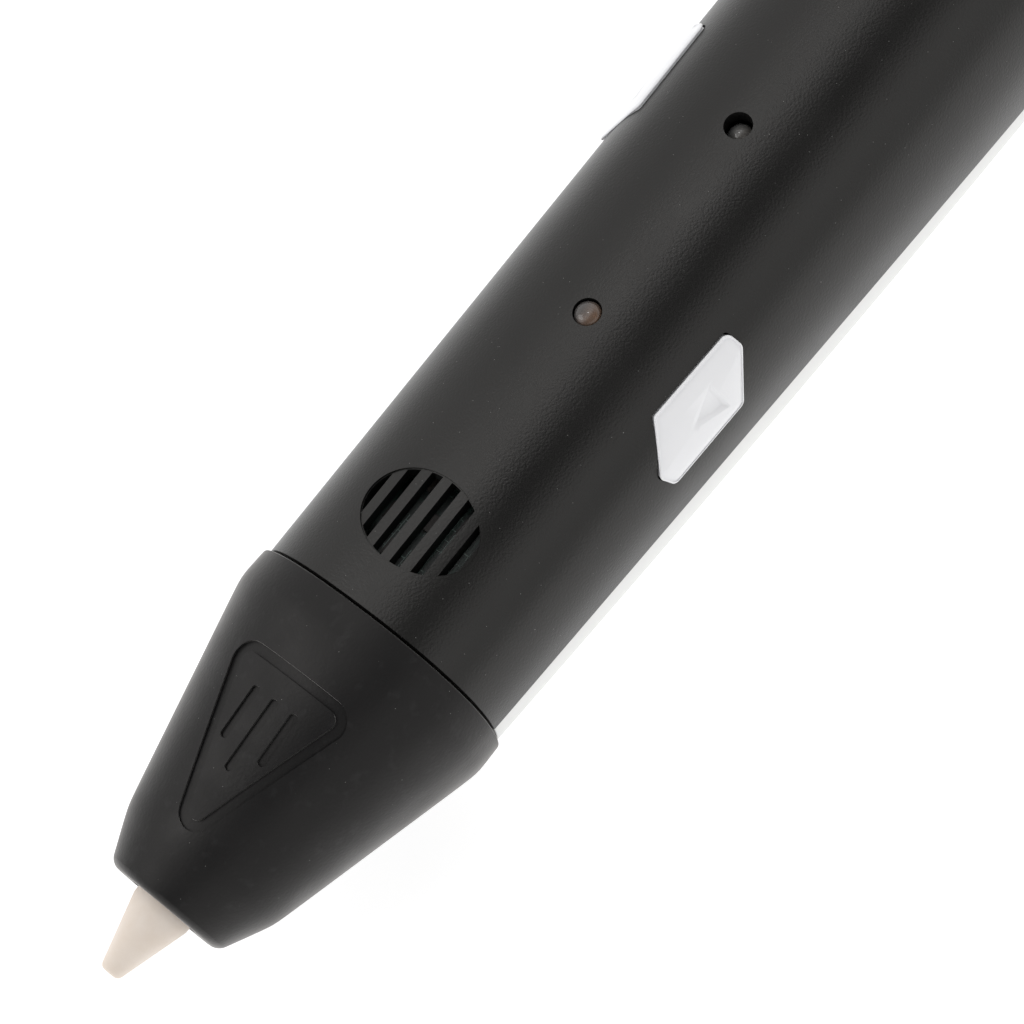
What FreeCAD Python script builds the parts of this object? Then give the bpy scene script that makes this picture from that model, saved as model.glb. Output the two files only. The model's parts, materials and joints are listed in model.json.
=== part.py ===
"""Handheld three d pen: split casing, nose cone, hot end, filament feed, fan, board, buttons and socket.

Everything is drawn in a design frame whose X axis is the filament path: X = 0 is the seam between nose cone
and casing, -X points to the nozzle, +Z is the top, and the load button is on the -Y side.  save() then shifts
each piece so that the origin is at the bottom centre of the whole pen, where its belly rests.  Millimetres.
"""
import FreeCAD
import Part
import math
import os

Vec = FreeCAD.Vector
X_AXIS, Y_AXIS, Z_AXIS = Vec(1, 0, 0), Vec(0, 1, 0), Vec(0, 0, 1)

# ---- driving dimensions -------------------------------------------------------------------------------
NOZZLE_TIP_X = -44.0
TAIL_X = 140.0
BELLY_Z = -20.8           # flat that the pen rests on
WALL = 1.8
TAIL_WALL = 2.0
TAIL_ROUND = 6.0
SEAM_GAP = 0.3            # between nose cone and casing
PARTING_GAP = 0.08        # between the two casing halves
PARTING_Z, PARTING_SLOPE = -1.2, -0.02
CASING_POWER, BELLY_POWER = 2.25, 2.1

CONE_RIM_X, CONE_KNEE_X, CONE_SHOULDER_X = -35.3, -29.6, -3.8
CONE_WALL = 2.0
CONE_HOLE_R = 4.2
NECK_X, NECK_INSET, NECK_BORE = -5.5, 2.5, 3.7     # spigot of the casing inside the nose cone

VENT_X, VENT_LENGTH, VENT_WIDTH = 10.7, 10.6, 14.0
VENT_SHIFT = 0.375                       # of the slots within the oval
VENT_SLOT, VENT_PITCH, VENT_COUNT = 1.3, 2.49, 6
VENT_RECESS = 0.35

LED_HOLE_R, LED_R, LED_TOP_Z = 1.52, 1.44, 14.75
LED_XS = {"power_led": 38.5, "ready_led": 64.0}

LOAD_X, UNLOAD_X = 38.1, 65.3            # middle of each button along the pen
BUTTON_TILT = 28.0                       # degrees round the casing from its side, and above the horizontal
BUTTON_PROUD, BUTTON_GAP = 0.45, 0.12
POST_X = 10.2                            # each side of a button, posts that carry its switch board
SWITCH_Z = -7.4                          # back of the switch, measured in from the casing

KNOB_X, KNOB_TRAVEL = 104.0, 3.5
SLIDER_Z = 10.6

FILAMENT_BORE = 1.05
TUBE_R = 2.0

FEED_X = 84.0                            # feed shaft
FEED_WHEEL_R, FILAMENT_R, BITE = 4.0, 0.875, 0.17
SHAFT_Z = -(FEED_WHEEL_R + FILAMENT_R - BITE)
SHAFT_R = 1.0
GEAR_MODULE, PINION_TEETH, CROWN_TEETH = 0.5, 9, 24
PINION_R = GEAR_MODULE * PINION_TEETH / 2
CROWN_R = GEAR_MODULE * CROWN_TEETH / 2
CROWN_PITCH_Y = 5.1
PINION_X = FEED_X + CROWN_R
FACE_WIDTH = 1.6
MOTOR_Y = CROWN_PITCH_Y + PINION_R
MOTOR_X, GEARBOX_LENGTH, CAN_LENGTH = 95.0, 9.0, 15.0
MOTOR_R, MOTOR_FLAT = 6.0, 5.0
IDLER_R, IDLER_GAP = 3.5, 1.2            # roller, and its gap to the feed wheel with no filament
IDLER_Z = SHAFT_Z + FEED_WHEEL_R + IDLER_GAP + IDLER_R
PIVOT_X, PIVOT_Z = 75.0, 7.0
SPRING_X, SPRING_TOP_Z = 86.0, 13.2
FEED_WHEEL_W = 4.0
BUSH_R, BUSH_BORE = 2.6, 1.3

FAN_X, FAN_SIZE, FAN_TOP_Z, FAN_DEPTH = 13.2, 18.0, -4.6, 6.0
BOARD_Z, BOARD_T = 7.5, 1.2
BOARD_START, BOARD_STEP, BOARD_END = 4.2, 23.0, 70.0
JACK_Z, JACK_HOLE_R, JACK_BARREL_R = -8.2, 3.3, 2.85

CASE_SCREWS = [(27.0, 8.6), (53.0, -8.6), (100.0, -8.6), (124.6, 8.6)]
CASE_SCREW_Z = -9.0                      # under the head
BOARD_SCREWS = [(19.8, -6.8), (19.8, 6.8), (51.5, 0.0)]
BLOCK_SCREWS = [(75.5, -6.0), (75.5, 6.0), (92.0, -6.0)]
BLOCK_Z = -12.2                          # top of the feed block's base

SHIFT = Vec(-(NOZZLE_TIP_X + TAIL_X) / 2, 0, -BELLY_Z)


# ---- helpers ------------------------------------------------------------------------------------------
def save(name, *pieces):
    """Writes one node, moved from the design frame to the part's own frame."""
    solids = []
    for piece in pieces:
        moved = piece.copy()
        moved.translate(SHIFT)
        solids += moved.Solids
    shape = solids[0] if len(solids) == 1 else Part.makeCompound(solids)
    if not solids or not shape.isValid():
        print("INVALID", name)
    shape.exportStep(f"parts/{name}.step")
    print(f"{name}: {len(solids)} solid(s), {sum(s.Volume for s in solids):.1f} mm3")


def box(x0, x1, y0, y1, z0, z1):
    return Part.makeBox(x1 - x0, y1 - y0, z1 - z0, Vec(x0, y0, z0))


def rod(radius, start, end):
    start, end = Vec(*start), Vec(*end)
    return Part.makeCylinder(radius, (end - start).Length, start, end - start)


def tube(outer, inner, start, end):
    return rod(outer, start, end).cut(rod(inner, start, end))


def fuse(first, *others):
    return first.fuse(list(others))


def prism(points, direction):
    """A solid from a closed outline of points, pushed along direction."""
    corners = [Vec(*p) for p in points]
    return Part.Face(Part.makePolygon(corners + corners[:1])).extrude(direction)


def turned(points):
    """A solid of revolution about the filament path, from (x, radius) points."""
    corners = [Vec(x, 0, r) for x, r in points]
    return Part.Face(Part.makePolygon(corners + corners[:1])).revolve(Vec(0, 0, 0), X_AXIS, 360)


def wire_tube(points, radius):
    """A lead of straight runs joined by the largest tangent arcs that its runs allow."""
    corners = [Vec(*p) for p in points]
    edges = []
    last = corners[0]
    for before, here, after in zip(corners, corners[1:], corners[2:]):
        back, on = (before - here).normalize(), (after - here).normalize()
        reach = 0.45 * min((before - here).Length, (after - here).Length)
        start, end = here + back * reach, here + on * reach
        half_turn = (math.pi - back.getAngle(on)) / 2
        bend = reach / math.tan(half_turn)
        inward = (back + on).normalize()
        middle = here + inward * (math.hypot(reach, bend) - bend)
        edges += [Part.LineSegment(last, start).toShape(), Part.Arc(start, middle, end).toShape()]
        last = end
    edges.append(Part.LineSegment(last, corners[-1]).toShape())
    path = Part.Wire(edges)
    circle = Part.Wire(Part.Circle(corners[0], corners[1] - corners[0], radius).toShape())
    return path.makePipeShell([circle], True, True)


def soft_ramp(x, corner, width):
    """max(0, x - corner), with its corner rounded over width."""
    t = (x - corner) / (width / 2)
    return width / 4 * (math.sqrt(t * t + 1) + t)


# ---- outer form ---------------------------------------------------------------------------------------
def casing_size(x):
    """Half width, height above the axis and depth below it of the casing at x."""
    tail = (max(x, 0.0) / TAIL_X) ** 6
    return (15.3 + 0.0165 * x - 1.1 * tail,
            13.3 + 0.043 * x - 2.6 * tail,
            17.1 + 0.13 * x - 0.0009 * x * x - 1.6 * tail)


def cone_size(x):
    """The same three sizes for the nose cone, with soft corners at its knee and shoulder."""
    rim = (7.1, 6.9, 7.1)
    nose, flank, collar = (0.465, 0.316, 0.69), (0.242, 0.203, 0.25), (-0.04, -0.04, 0.0)
    knee = soft_ramp(x, CONE_KNEE_X, 1.6)
    shoulder = soft_ramp(x, CONE_SHOULDER_X, 1.6)
    return tuple(r + (x - CONE_RIM_X) * a + knee * (b - a) + shoulder * (c - b)
                 for r, a, b, c in zip(rim, nose, flank, collar))


def half_outline(x, width, height, power, sign):
    """A superellipse arch from +Y over the top (sign 1) or under the bottom (sign -1) to -Y."""
    points = []
    steps = 16
    for i in range(1, steps):
        angle = math.pi * i / steps
        c, s = math.cos(angle), math.sin(angle)
        y = math.copysign(abs(c) ** (2 / power), c) * width
        points.append(Vec(x, y, sign * height * s ** (2 / power)))
    points = [Vec(x, width, 0)] + points + [Vec(x, -width, 0)]
    curve = Part.BSplineCurve()
    curve.interpolate(Points=points, InitialTangent=Vec(0, 0, sign), FinalTangent=Vec(0, 0, -sign))
    return curve.toShape()


def section(x, size, inset, top_power, low_power):
    width, top, bottom = (s - inset for s in size)
    upper = half_outline(x, width, top, top_power, 1)
    lower = half_outline(x, width, bottom, low_power, -1)
    return Part.Wire([upper, lower])


def rounding(radius):
    """(distance back from a flat end, extra inset) pairs along a quarter circle that ends on the flat."""
    turns = [math.radians(a) for a in (0, 18, 36, 54, 72, 90)]
    return [(radius * (1 - math.sin(t)), radius * (1 - math.cos(t))) for t in turns]


def casing_form(inset, start, end, step=14.0, rounded=0.0):
    """The casing's outer form, shrunk by inset, from start to end, with the far edge rounded if asked."""
    straight_end = end - rounded
    count = max(2, round((straight_end - start) / step))
    xs = [start + (straight_end - start) * i / count for i in range(count + 1)]
    places = [(x, inset) for x in xs]
    if rounded:
        places = places[:-1] + [(end - back, inset + extra) for back, extra in rounding(rounded)]
    wires = [section(x, casing_size(x), depth, CASING_POWER, BELLY_POWER) for x, depth in places]
    return Part.makeLoft(wires, True, False)


def cone_form(inset, start, end, lip=0.0):
    """The nose cone's form, shrunk by inset.  It turns from a circle at the rim to the casing's section."""
    knee = [CONE_KNEE_X + d for d in (-2.7, -1.3, -0.3, 0.6, 1.8, 4.1)]
    shoulder = [CONE_SHOULDER_X + d for d in (-17.2, -12.2, -7.2, -3.7, -1.6, -0.6, 0.4, 1.5, 2.6)]
    places = [(start, inset)]
    if lip:
        places = [(start + back, inset + extra) for back, extra in reversed(rounding(lip))]
    places += [(x, inset) for x in knee + shoulder if places[-1][0] + 0.6 < x < end - 0.4] + [(end, inset)]
    wires = []
    for x, depth in places:
        share = min(1.0, max(0.0, (x - CONE_RIM_X) / (CONE_SHOULDER_X - CONE_RIM_X)))
        top_power = 2 + share * (CASING_POWER - 2)
        low_power = 2 + share * (BELLY_POWER - 2)
        wires.append(section(x, cone_size(x), depth, top_power, low_power))
    return Part.makeLoft(wires, True, False)


def above_parting(gap):
    """Everything over the sloping plane where the two casing halves meet."""
    x0, x1 = -60.0, 200.0
    z0, z1 = (PARTING_Z + PARTING_SLOPE * x + gap for x in (x0, x1))
    return prism([(x0, -40, z0), (x1, -40, z1), (x1, -40, 60), (x0, -40, 60)], Vec(0, 80, 0))


# ---- buttons ------------------------------------------------------------------------------------------
def on_button(shape, x, side):
    """Moves a shape drawn in a button's own frame (Z out of the casing, X along the pen) to its place."""
    tilt = math.radians(BUTTON_TILT)
    width, top, _ = casing_size(x)
    turn = 2 / CASING_POWER
    foot = Vec(x, side * width * math.cos(tilt) ** turn, top * math.sin(tilt) ** turn)
    out = Vec(0, side * math.cos(tilt), math.sin(tilt))
    along = X_AXIS * -side               # keeps the frame right-handed on both sides
    up = out.cross(along)
    rotation = FreeCAD.Rotation(along, up, out, "ZXY")
    moved = shape.copy()
    moved.Placement = FreeCAD.Placement(foot, rotation).multiply(moved.Placement)
    return moved


def button_corners(side):
    """Clipped parallelogram, Y up the casing's side.  X is along the pen, and turns over on the +Y side."""
    inner, outer = 4.4, -3.5
    corners = [(-3.95, inner), (7.9, inner), (8.2, inner - 2.2),
               (4.45, outer), (-6.8, outer), (-7.85, outer + 2.4)]
    return [(-side * x, y) for x, y in corners]


def button_prism(x, side, grow, low, high):
    corners = [Vec(px, py, 0) for px, py in button_corners(side)]
    wire = Part.makePolygon(corners + corners[:1])
    if grow:
        wire = wire.makeOffset2D(grow, 2)
    face = Part.Face(wire)
    face.translate(Vec(0, 0, low))
    return on_button(face.extrude(Vec(0, 0, high - low)), x, side)


def button_cap(x, side):
    """Cap that follows the casing's curve and stands proud of it, with its retaining flange and stem."""
    span = (x - 14, x + 14)
    head = button_prism(x, side, 0, -2.4, 6).common(casing_form(-BUTTON_PROUD, *span))
    flange = button_prism(x, side, 0.9, -4.1, -3.25).common(casing_form(WALL + 0.15, *span))
    web = button_prism(x, side, 0, -3.3, -2.3)
    arrow = [(2.6, 2.25, -1), (3.0, -1.75, -1), (-2.0, 0.15, -1)]
    wedge = on_button(prism(arrow, Vec(0, 0, 6)), x, side)
    return fuse(head, web, flange).cut(wedge.cut(casing_form(0.1, *span)))


def switch_pieces(x, side):
    """Tact switch body, its plunger, which the button pushes, and its small board."""
    body = Part.makeBox(6, 6, 2.4, Vec(-3, -3, SWITCH_Z)).cut(Part.makeCylinder(1.75, 1.3, Vec(0, 0, -6.3)))
    plunger = Part.makeCylinder(1.65, 1.3, Vec(0, 0, -5.4))
    board = Part.makeBox(2 * POST_X + 3.4, 7.0, 1.0, Vec(-POST_X - 1.7, -3.5, SWITCH_Z - 1.0))
    for px in (-POST_X, POST_X):
        board = board.cut(Part.makeCylinder(0.9, 4, Vec(px, 0, SWITCH_Z - 2)))
    return [on_button(piece, x, side) for piece in (body, plunger, board)]


def switch_posts(x, side):
    """Posts from the casing's inside to the switch board, with a screw hole in each."""
    posts = []
    for px in (-POST_X, POST_X):
        pilot = Part.makeCylinder(0.6, 4, Vec(px, 0, SWITCH_Z))
        post = Part.makeCylinder(1.6, 12, Vec(px, 0, SWITCH_Z)).cut(pilot)
        posts.append(on_button(post, x, side).common(casing_form(1.0, x - 14, x + 14)))
    return posts


def switch_screws(x, side):
    screws = []
    for px in (-POST_X, POST_X):
        head = Part.makeCylinder(1.2, 0.8, Vec(px, 0, SWITCH_Z - 1.8))
        shank = Part.makeCylinder(0.58, 4.4, Vec(px, 0, SWITCH_Z - 1.2))
        screws.append(on_button(head.fuse(shank), x, side))
    return screws


# ---- casing -------------------------------------------------------------------------------------------
def vent_cuts(sign):
    """The shallow oval recess and the slots in it, for the top (sign 1) or the belly (sign -1)."""
    oval = Part.Ellipse(Vec(VENT_X, 0, 0), VENT_WIDTH / 2, VENT_LENGTH / 2).toShape()
    oval.rotate(Vec(VENT_X, 0, 0), Z_AXIS, 90)
    column = Part.Face(Part.Wire(oval)).extrude(Vec(0, 0, sign * 30))
    floor = casing_form(VENT_RECESS, VENT_X - 9, VENT_X + 9)
    slots = []
    for i in range(VENT_COUNT):
        y = (i - (VENT_COUNT - 1) / 2) * VENT_PITCH + VENT_SHIFT
        low, high = sorted((sign * 4, sign * 30))
        bar = box(VENT_X - 9, VENT_X + 9, y - VENT_SLOT / 2, y + VENT_SLOT / 2, low, high)
        slots.append(bar.common(column))
    return [column.cut(floor)] + slots


def casing_ring():
    """Both casing halves as one hollow body, with the neck that goes into the nose cone."""
    outer = casing_form(0, SEAM_GAP / 2, TAIL_X, rounded=TAIL_ROUND)
    inner = casing_form(WALL, 3.0, TAIL_X - TAIL_WALL, rounded=TAIL_ROUND - WALL)
    neck = casing_form(NECK_INSET, NECK_X, 3.0, 3.0)
    mouth = casing_form(NECK_BORE, NECK_X - 1, 4.0, 3.0)
    belly = box(-60, 200, -40, 40, BELLY_Z - 20, BELLY_Z)
    return outer.fuse(neck).cut([inner, mouth, belly])


def casing_halves():
    ring = casing_ring()
    inside = casing_form(1.0, 1.0, TAIL_X - 1.0)
    upper_adds, lower_adds, upper_cuts, lower_cuts = [], [], vent_cuts(1), vent_cuts(-1)

    for x, y in CASE_SCREWS:
        seam = PARTING_Z + PARTING_SLOPE * x
        upper_adds.append(rod(2.5, (x, y, seam), (x, y, 25)).common(inside))
        lower_adds.append(rod(3.0, (x, y, -30), (x, y, seam)).common(inside))
        upper_cuts.append(rod(0.98, (x, y, seam - 1), (x, y, seam + 6)))
        lower_cuts += [rod(1.15, (x, y, -30), (x, y, seam + 1)), rod(2.1, (x, y, -30), (x, y, CASE_SCREW_Z))]
    for x, y in BOARD_SCREWS:
        upper_adds.append(rod(1.7, (x, y, BOARD_Z + BOARD_T), (x, y, 25)).common(inside))
        upper_cuts.append(rod(0.62, (x, y, BOARD_Z), (x, y, BOARD_Z + BOARD_T + 2.2)))
    for x, y in BLOCK_SCREWS:
        lower_adds.append(rod(2.0, (x, y, -30), (x, y, BLOCK_Z - 1.5)).common(inside))
        lower_cuts.append(rod(0.82, (x, y, BLOCK_Z - 5), (x, y, BLOCK_Z)))
    for x, side in ((LOAD_X, -1), (UNLOAD_X, 1)):
        upper_adds += switch_posts(x, side)
        upper_cuts.append(button_prism(x, side, BUTTON_GAP, -3.4, 6))
    for x in LED_XS.values():
        upper_cuts.append(rod(LED_HOLE_R, (x, 0, BOARD_Z + 4), (x, 0, 25)))

    spring_seat = rod(2.6, (SPRING_X, 0, SPRING_TOP_Z), (SPRING_X, 0, 25)).common(inside)
    spring_pin = rod(1.0, (SPRING_X, 0, SPRING_TOP_Z - 1.1), (SPRING_X, 0, 16)).common(inside)
    upper_adds += [spring_seat, spring_pin]
    slot = KNOB_TRAVEL + 1.4
    upper_cuts.append(box(KNOB_X - slot, KNOB_X + slot, -1.1, 1.1, 12, 30))
    upper_cuts.append(rod(BUSH_R, (TAIL_X - 5, 0, 0), (TAIL_X + 5, 0, 0)))
    lower_cuts.append(rod(JACK_HOLE_R, (TAIL_X - 5, 0, JACK_Z), (TAIL_X + 5, 0, JACK_Z)))

    for x in (MOTOR_X + 12, MOTOR_X + 20):
        cradle = box(x, x + 1.5, MOTOR_Y - 4, MOTOR_Y + 4, -30, SHAFT_Z - MOTOR_R - 0.2)
        lower_adds.append(cradle.common(inside))
    corner = FAN_SIZE / 2 - 1.6
    for sx in (-corner, corner):
        for sy in (-corner, corner):
            foot = rod(1.4, (FAN_X + sx, sy, -30), (FAN_X + sx, sy, FAN_TOP_Z - FAN_DEPTH))
            lower_adds.append(foot.common(inside))
            lower_cuts.append(rod(0.72, (FAN_X + sx, sy, FAN_TOP_Z - FAN_DEPTH - 2.2), (FAN_X + sx, sy, 0)))
    for y0, y1 in ((-6.0, -4.6), (4.6, 6.0)):
        lower_adds.append(box(128, 131, y0, y1, -30, JACK_Z + 1).common(inside))
    lower_adds.append(box(126.0, 137, -4, 4, -30, JACK_Z - 4.5).common(inside))
    lower_adds.append(box(40, 104, -7.5, 7.5, -30, BELLY_Z + WALL).common(inside))

    upper = fuse(ring.common(above_parting(PARTING_GAP / 2)), *upper_adds).cut(upper_cuts)
    lower = fuse(ring.cut(above_parting(-PARTING_GAP / 2)), *lower_adds).cut(lower_cuts)
    return upper, lower


def nose_cone():
    """Soft sleeve over the hot end, with a raised-looking grip mark engraved on top."""
    outer = cone_form(0, CONE_RIM_X, -SEAM_GAP / 2, lip=0.9)
    cavity = cone_form(CONE_WALL, CONE_RIM_X + 2.0, NECK_X - 0.6)
    socket = casing_form(NECK_INSET - 0.1, NECK_X - 1.2, 1.0, 3.0)
    hole = rod(CONE_HOLE_R, (CONE_RIM_X - 1, 0, 0), (CONE_RIM_X + 4, 0, 0))
    return outer.cut([cavity, socket, hole]).cut(grip_mark())


def grip_mark():
    """Rounded triangle band with three straight strokes inside it, engraved in the cone's top."""
    base_x, half_base, apex_x = -8.4, 9.0, -33.6
    triangle = Part.makePolygon([Vec(base_x, -half_base, 0), Vec(base_x, half_base, 0), Vec(apex_x, 0, 0),
                                 Vec(base_x, -half_base, 0)])
    core = triangle.makeOffset2D(-2.6, 0)
    outer_edge, inner_edge = core.makeOffset2D(2.2, 0), core.makeOffset2D(1.0, 0)
    up = Vec(0, 0, 30)
    band = Part.Face(outer_edge).extrude(up).cut(Part.Face(inner_edge).extrude(up))
    strokes = [box(-21.0 + abs(y) * 0.9, -12.5, y - 0.5, y + 0.5, 0, 30) for y in (-2.6, 0, 2.6)]
    floor = cone_form(0.35, CONE_RIM_X, -SEAM_GAP / 2)
    return [piece.cut(floor) for piece in [band] + strokes]


# ---- hot end ------------------------------------------------------------------------------------------
def hot_end():
    tip = NOZZLE_TIP_X
    ceramic = turned([(tip, 0.45), (tip, 0.75), (tip + 0.2, 1.05), (tip + 0.75, 1.36),
                      (-36.2, 3.37), (-35.4, 3.45),
                      (-30.0, 3.45), (-30.0, 2.0), (tip + 3, 2.0), (tip + 3, 0.45)])
    brass = turned([(tip + 3.2, 0.35), (tip + 3.2, 1.95), (-14.0, 1.95), (-14.0, FILAMENT_BORE),
                    (tip + 5, FILAMENT_BORE), (tip + 4.2, 0.35)])
    heater = tube(3.4, 2.0, (-29.5, 0, 0), (-17.5, 0, 0))
    sleeve = tube(4.8, 3.5, (-29.8, 0, 0), (-19.2, 0, 0)).cut(box(-26, -16, -0.6, 0.6, -4.3, -3))
    bead = rod(0.38, (-25.6, 0, -3.85), (-22.6, 0, -3.85))
    save("ceramic_nozzle", ceramic)
    save("brass_melt_tube", brass)
    save("heater_core", heater)
    save("insulation_sleeve", sleeve)
    save("thermistor", bead)
    save("heat_break_tube", tube(2.6, 1.05, (-13.9, 0, 0), (-6.0, 0, 0)))

    plug = casing_form(NECK_BORE + 0.08, -5.4, -2.4, 1.0)
    barrel = rod(4.2, (-15.8, 0, 0), (3.4, 0, 0))
    holder = plug.fuse(barrel).cut(rod(2.62, (-16, 0, 0), (-5.95, 0, 0)))
    holder = holder.cut([rod(2.02, (-7, 0, 0), (4, 0, 0))])
    holes = [rod(2.0, (-6, y, z), (-1, y, z)) for y, z in ((0, 6.6), (7.4, -4), (-7.4, -4), (0, -9))]
    save("hot_end_holder", holder.cut(holes))


# ---- filament path and feed ---------------------------------------------------------------------------
def feed_block():
    """Frame that lines up the tubes, the feed shaft, the idler's pivot and the gearmotor."""
    base = box(73, 95, -8, 10.4, BLOCK_Z - 1.5, BLOCK_Z)
    near_wall = box(79.5, 88.5, -8, -6.2, BLOCK_Z, -1.5)
    far_wall = box(80.5, 87.2, 8.6, 10.4, BLOCK_Z, -1.5)
    front_tower = box(73, 77, -2.3, 2.3, BLOCK_Z, PIVOT_Z + 2).fuse(box(73, 77, -4, 4, BLOCK_Z, 2.4))
    snout = rod(1.7, (77, 0, 0), (80.0, 0, 0))
    rear_tower = box(90, 93.4, -4, 2.0, BLOCK_Z, 3.2)
    motor_plate = box(93.4, 95, -4, 12.4, BLOCK_Z, 3.2)
    block = fuse(base, near_wall, far_wall, front_tower, snout, rear_tower, motor_plate)
    block = block.common(casing_form(WALL + 0.15, 70, 100))
    cuts = [rod(FILAMENT_BORE, (72, 0, 0), (96, 0, 0)), rod(TUBE_R + 0.02, (72, 0, 0), (76, 0, 0)),
            rod(TUBE_R + 0.02, (91.5, 0, 0), (96, 0, 0)),
            rod(2.6, (92, MOTOR_Y, SHAFT_Z), (96, MOTOR_Y, SHAFT_Z)),
            rod(1.8, (FEED_X, -9, SHAFT_Z), (FEED_X, -5, SHAFT_Z)),
            rod(1.8, (FEED_X, 8, SHAFT_Z), (FEED_X, 11, SHAFT_Z)),
            rod(1.0, (PIVOT_X, -5, PIVOT_Z), (PIVOT_X, 5, PIVOT_Z))]
    cuts += [rod(0.95, (x, y, BLOCK_Z - 2), (x, y, BLOCK_Z + 1)) for x, y in BLOCK_SCREWS]
    cuts += [rod(0.85, (93, MOTOR_Y, SHAFT_Z + z), (96, MOTOR_Y, SHAFT_Z + z)) for z in (-4.5, 4.5)]
    return block.cut(cuts)


def crown_gear():
    """Face gear: its teeth stand on the +Y face of a disc and mesh with the motor's pinion."""
    root_y, tip_y = CROWN_PITCH_Y - 0.62, CROWN_PITCH_Y + 0.38
    inner, outer = CROWN_R - FACE_WIDTH / 2, CROWN_R + FACE_WIDTH / 2
    disc = rod(outer, (0, root_y - 0.9, 0), (0, root_y, 0))
    hub = rod(2.0, (0, FEED_WHEEL_W / 2, 0), (0, root_y - 0.8, 0))
    wide, narrow = 0.42, 0.22            # half thickness of a tooth at its root and tip
    tooth = prism([(inner, root_y - 0.1, -wide), (inner, root_y - 0.1, wide), (inner, tip_y, narrow),
                   (inner, tip_y, -narrow)], Vec(outer - inner - 0.05, 0, 0))
    teeth = []
    for i in range(CROWN_TEETH):
        turned_tooth = tooth.copy()
        turned_tooth.rotate(Vec(0, 0, 0), Y_AXIS, 360 * i / CROWN_TEETH)
        teeth.append(turned_tooth)
    gear = fuse(disc, hub, *teeth).cut(rod(SHAFT_R, (0, -1, 0), (0, 9, 0)))
    gear.translate(Vec(FEED_X, 0, SHAFT_Z))
    return gear


def pinion():
    """Small spur pinion on the motor's shaft.  It has a gap facing the crown gear's tooth."""
    tip, root = PINION_R + 0.38, PINION_R - 0.58
    wide, middle, narrow = 0.44, 0.27, 0.12
    tooth = prism([(0, -wide, root - 0.2), (0, wide, root - 0.2), (0, middle, PINION_R), (0, narrow, tip),
                   (0, -narrow, tip), (0, -middle, PINION_R)], Vec(FACE_WIDTH, 0, 0))
    teeth = []
    for i in range(PINION_TEETH):
        turned_tooth = tooth.copy()
        turned_tooth.rotate(Vec(0, 0, 0), X_AXIS, 90 + 360 * (i + 0.5) / PINION_TEETH)
        teeth.append(turned_tooth)
    body = fuse(rod(root, (0, 0, 0), (FACE_WIDTH, 0, 0)), *teeth).cut(rod(0.8, (-1, 0, 0), (5, 0, 0)))
    body.translate(Vec(PINION_X - FACE_WIDTH / 2, MOTOR_Y, SHAFT_Z))
    return body


def feed_wheel():
    """Knurled drive wheel."""
    grooves, wheel = 30, rod(FEED_WHEEL_R, (0, -FEED_WHEEL_W / 2, 0), (0, FEED_WHEEL_W / 2, 0))
    rim = FEED_WHEEL_R + 0.1
    notch = prism([(FEED_WHEEL_R - 0.25, -3, 0), (rim, -3, 0.28), (rim, -3, -0.28)],
                  Vec(0, 6, 0))
    cuts = []
    for i in range(grooves):
        cut = notch.copy()
        cut.rotate(Vec(0, 0, 0), Y_AXIS, 360 * i / grooves)
        cuts.append(cut)
    wheel = wheel.cut(cuts + [rod(SHAFT_R, (0, -5, 0), (0, 5, 0))])
    wheel.translate(Vec(FEED_X, 0, SHAFT_Z))
    return wheel


def idler():
    """Sprung arm that presses a roller on the filament, with its axle, roller, pivot pin and spring."""
    profile = [(73.2, 6.0), (76.0, 4.4), (82.6, 2.7), (85.4, 2.7), (88.6, 8.2), (88.6, 9.4), (78.2, 9.4),
               (73.8, 8.8)]
    cheeks = []
    for y in (-3.5, 2.5):
        cheeks.append(prism([(x, y, z) for x, z in profile], Vec(0, 1, 0)))
    bridge = box(78.4, 88.6, -3.2, 3.2, 8.2, 9.4)
    stud = rod(1.0, (SPRING_X, 0, 9.3), (SPRING_X, 0, 9.9))
    arm = fuse(cheeks[0], cheeks[1], bridge, stud)
    arm = arm.cut([rod(SHAFT_R + 0.04, (PIVOT_X, -5, PIVOT_Z), (PIVOT_X, 5, PIVOT_Z)),
                   rod(SHAFT_R, (FEED_X, -5, IDLER_Z), (FEED_X, 5, IDLER_Z))])
    save("idler_arm", arm)
    save("idler_axle", rod(SHAFT_R, (FEED_X, -3.5, IDLER_Z), (FEED_X, 3.5, IDLER_Z)))
    roller = tube(IDLER_R, SHAFT_R + 0.04, (FEED_X, -2, IDLER_Z), (FEED_X, 2, IDLER_Z))
    save("idler_roller", roller)
    save("idler_pivot_pin", rod(1.0, (PIVOT_X, -3.8, PIVOT_Z), (PIVOT_X, 3.8, PIVOT_Z)))
    wire, coil = 0.22, 1.6
    height = SPRING_TOP_Z - 9.4 - 2 * wire
    helix = Part.makeHelix(height / 4.5, height, coil)
    circle = Part.Wire(Part.Circle(Vec(coil, 0, 0), Y_AXIS, wire).toShape())
    spring = Part.Wire(helix.Edges).makePipeShell([circle], True, True)
    spring.translate(Vec(SPRING_X, 0, 9.4 + wire))
    save("idler_spring", spring)


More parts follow.
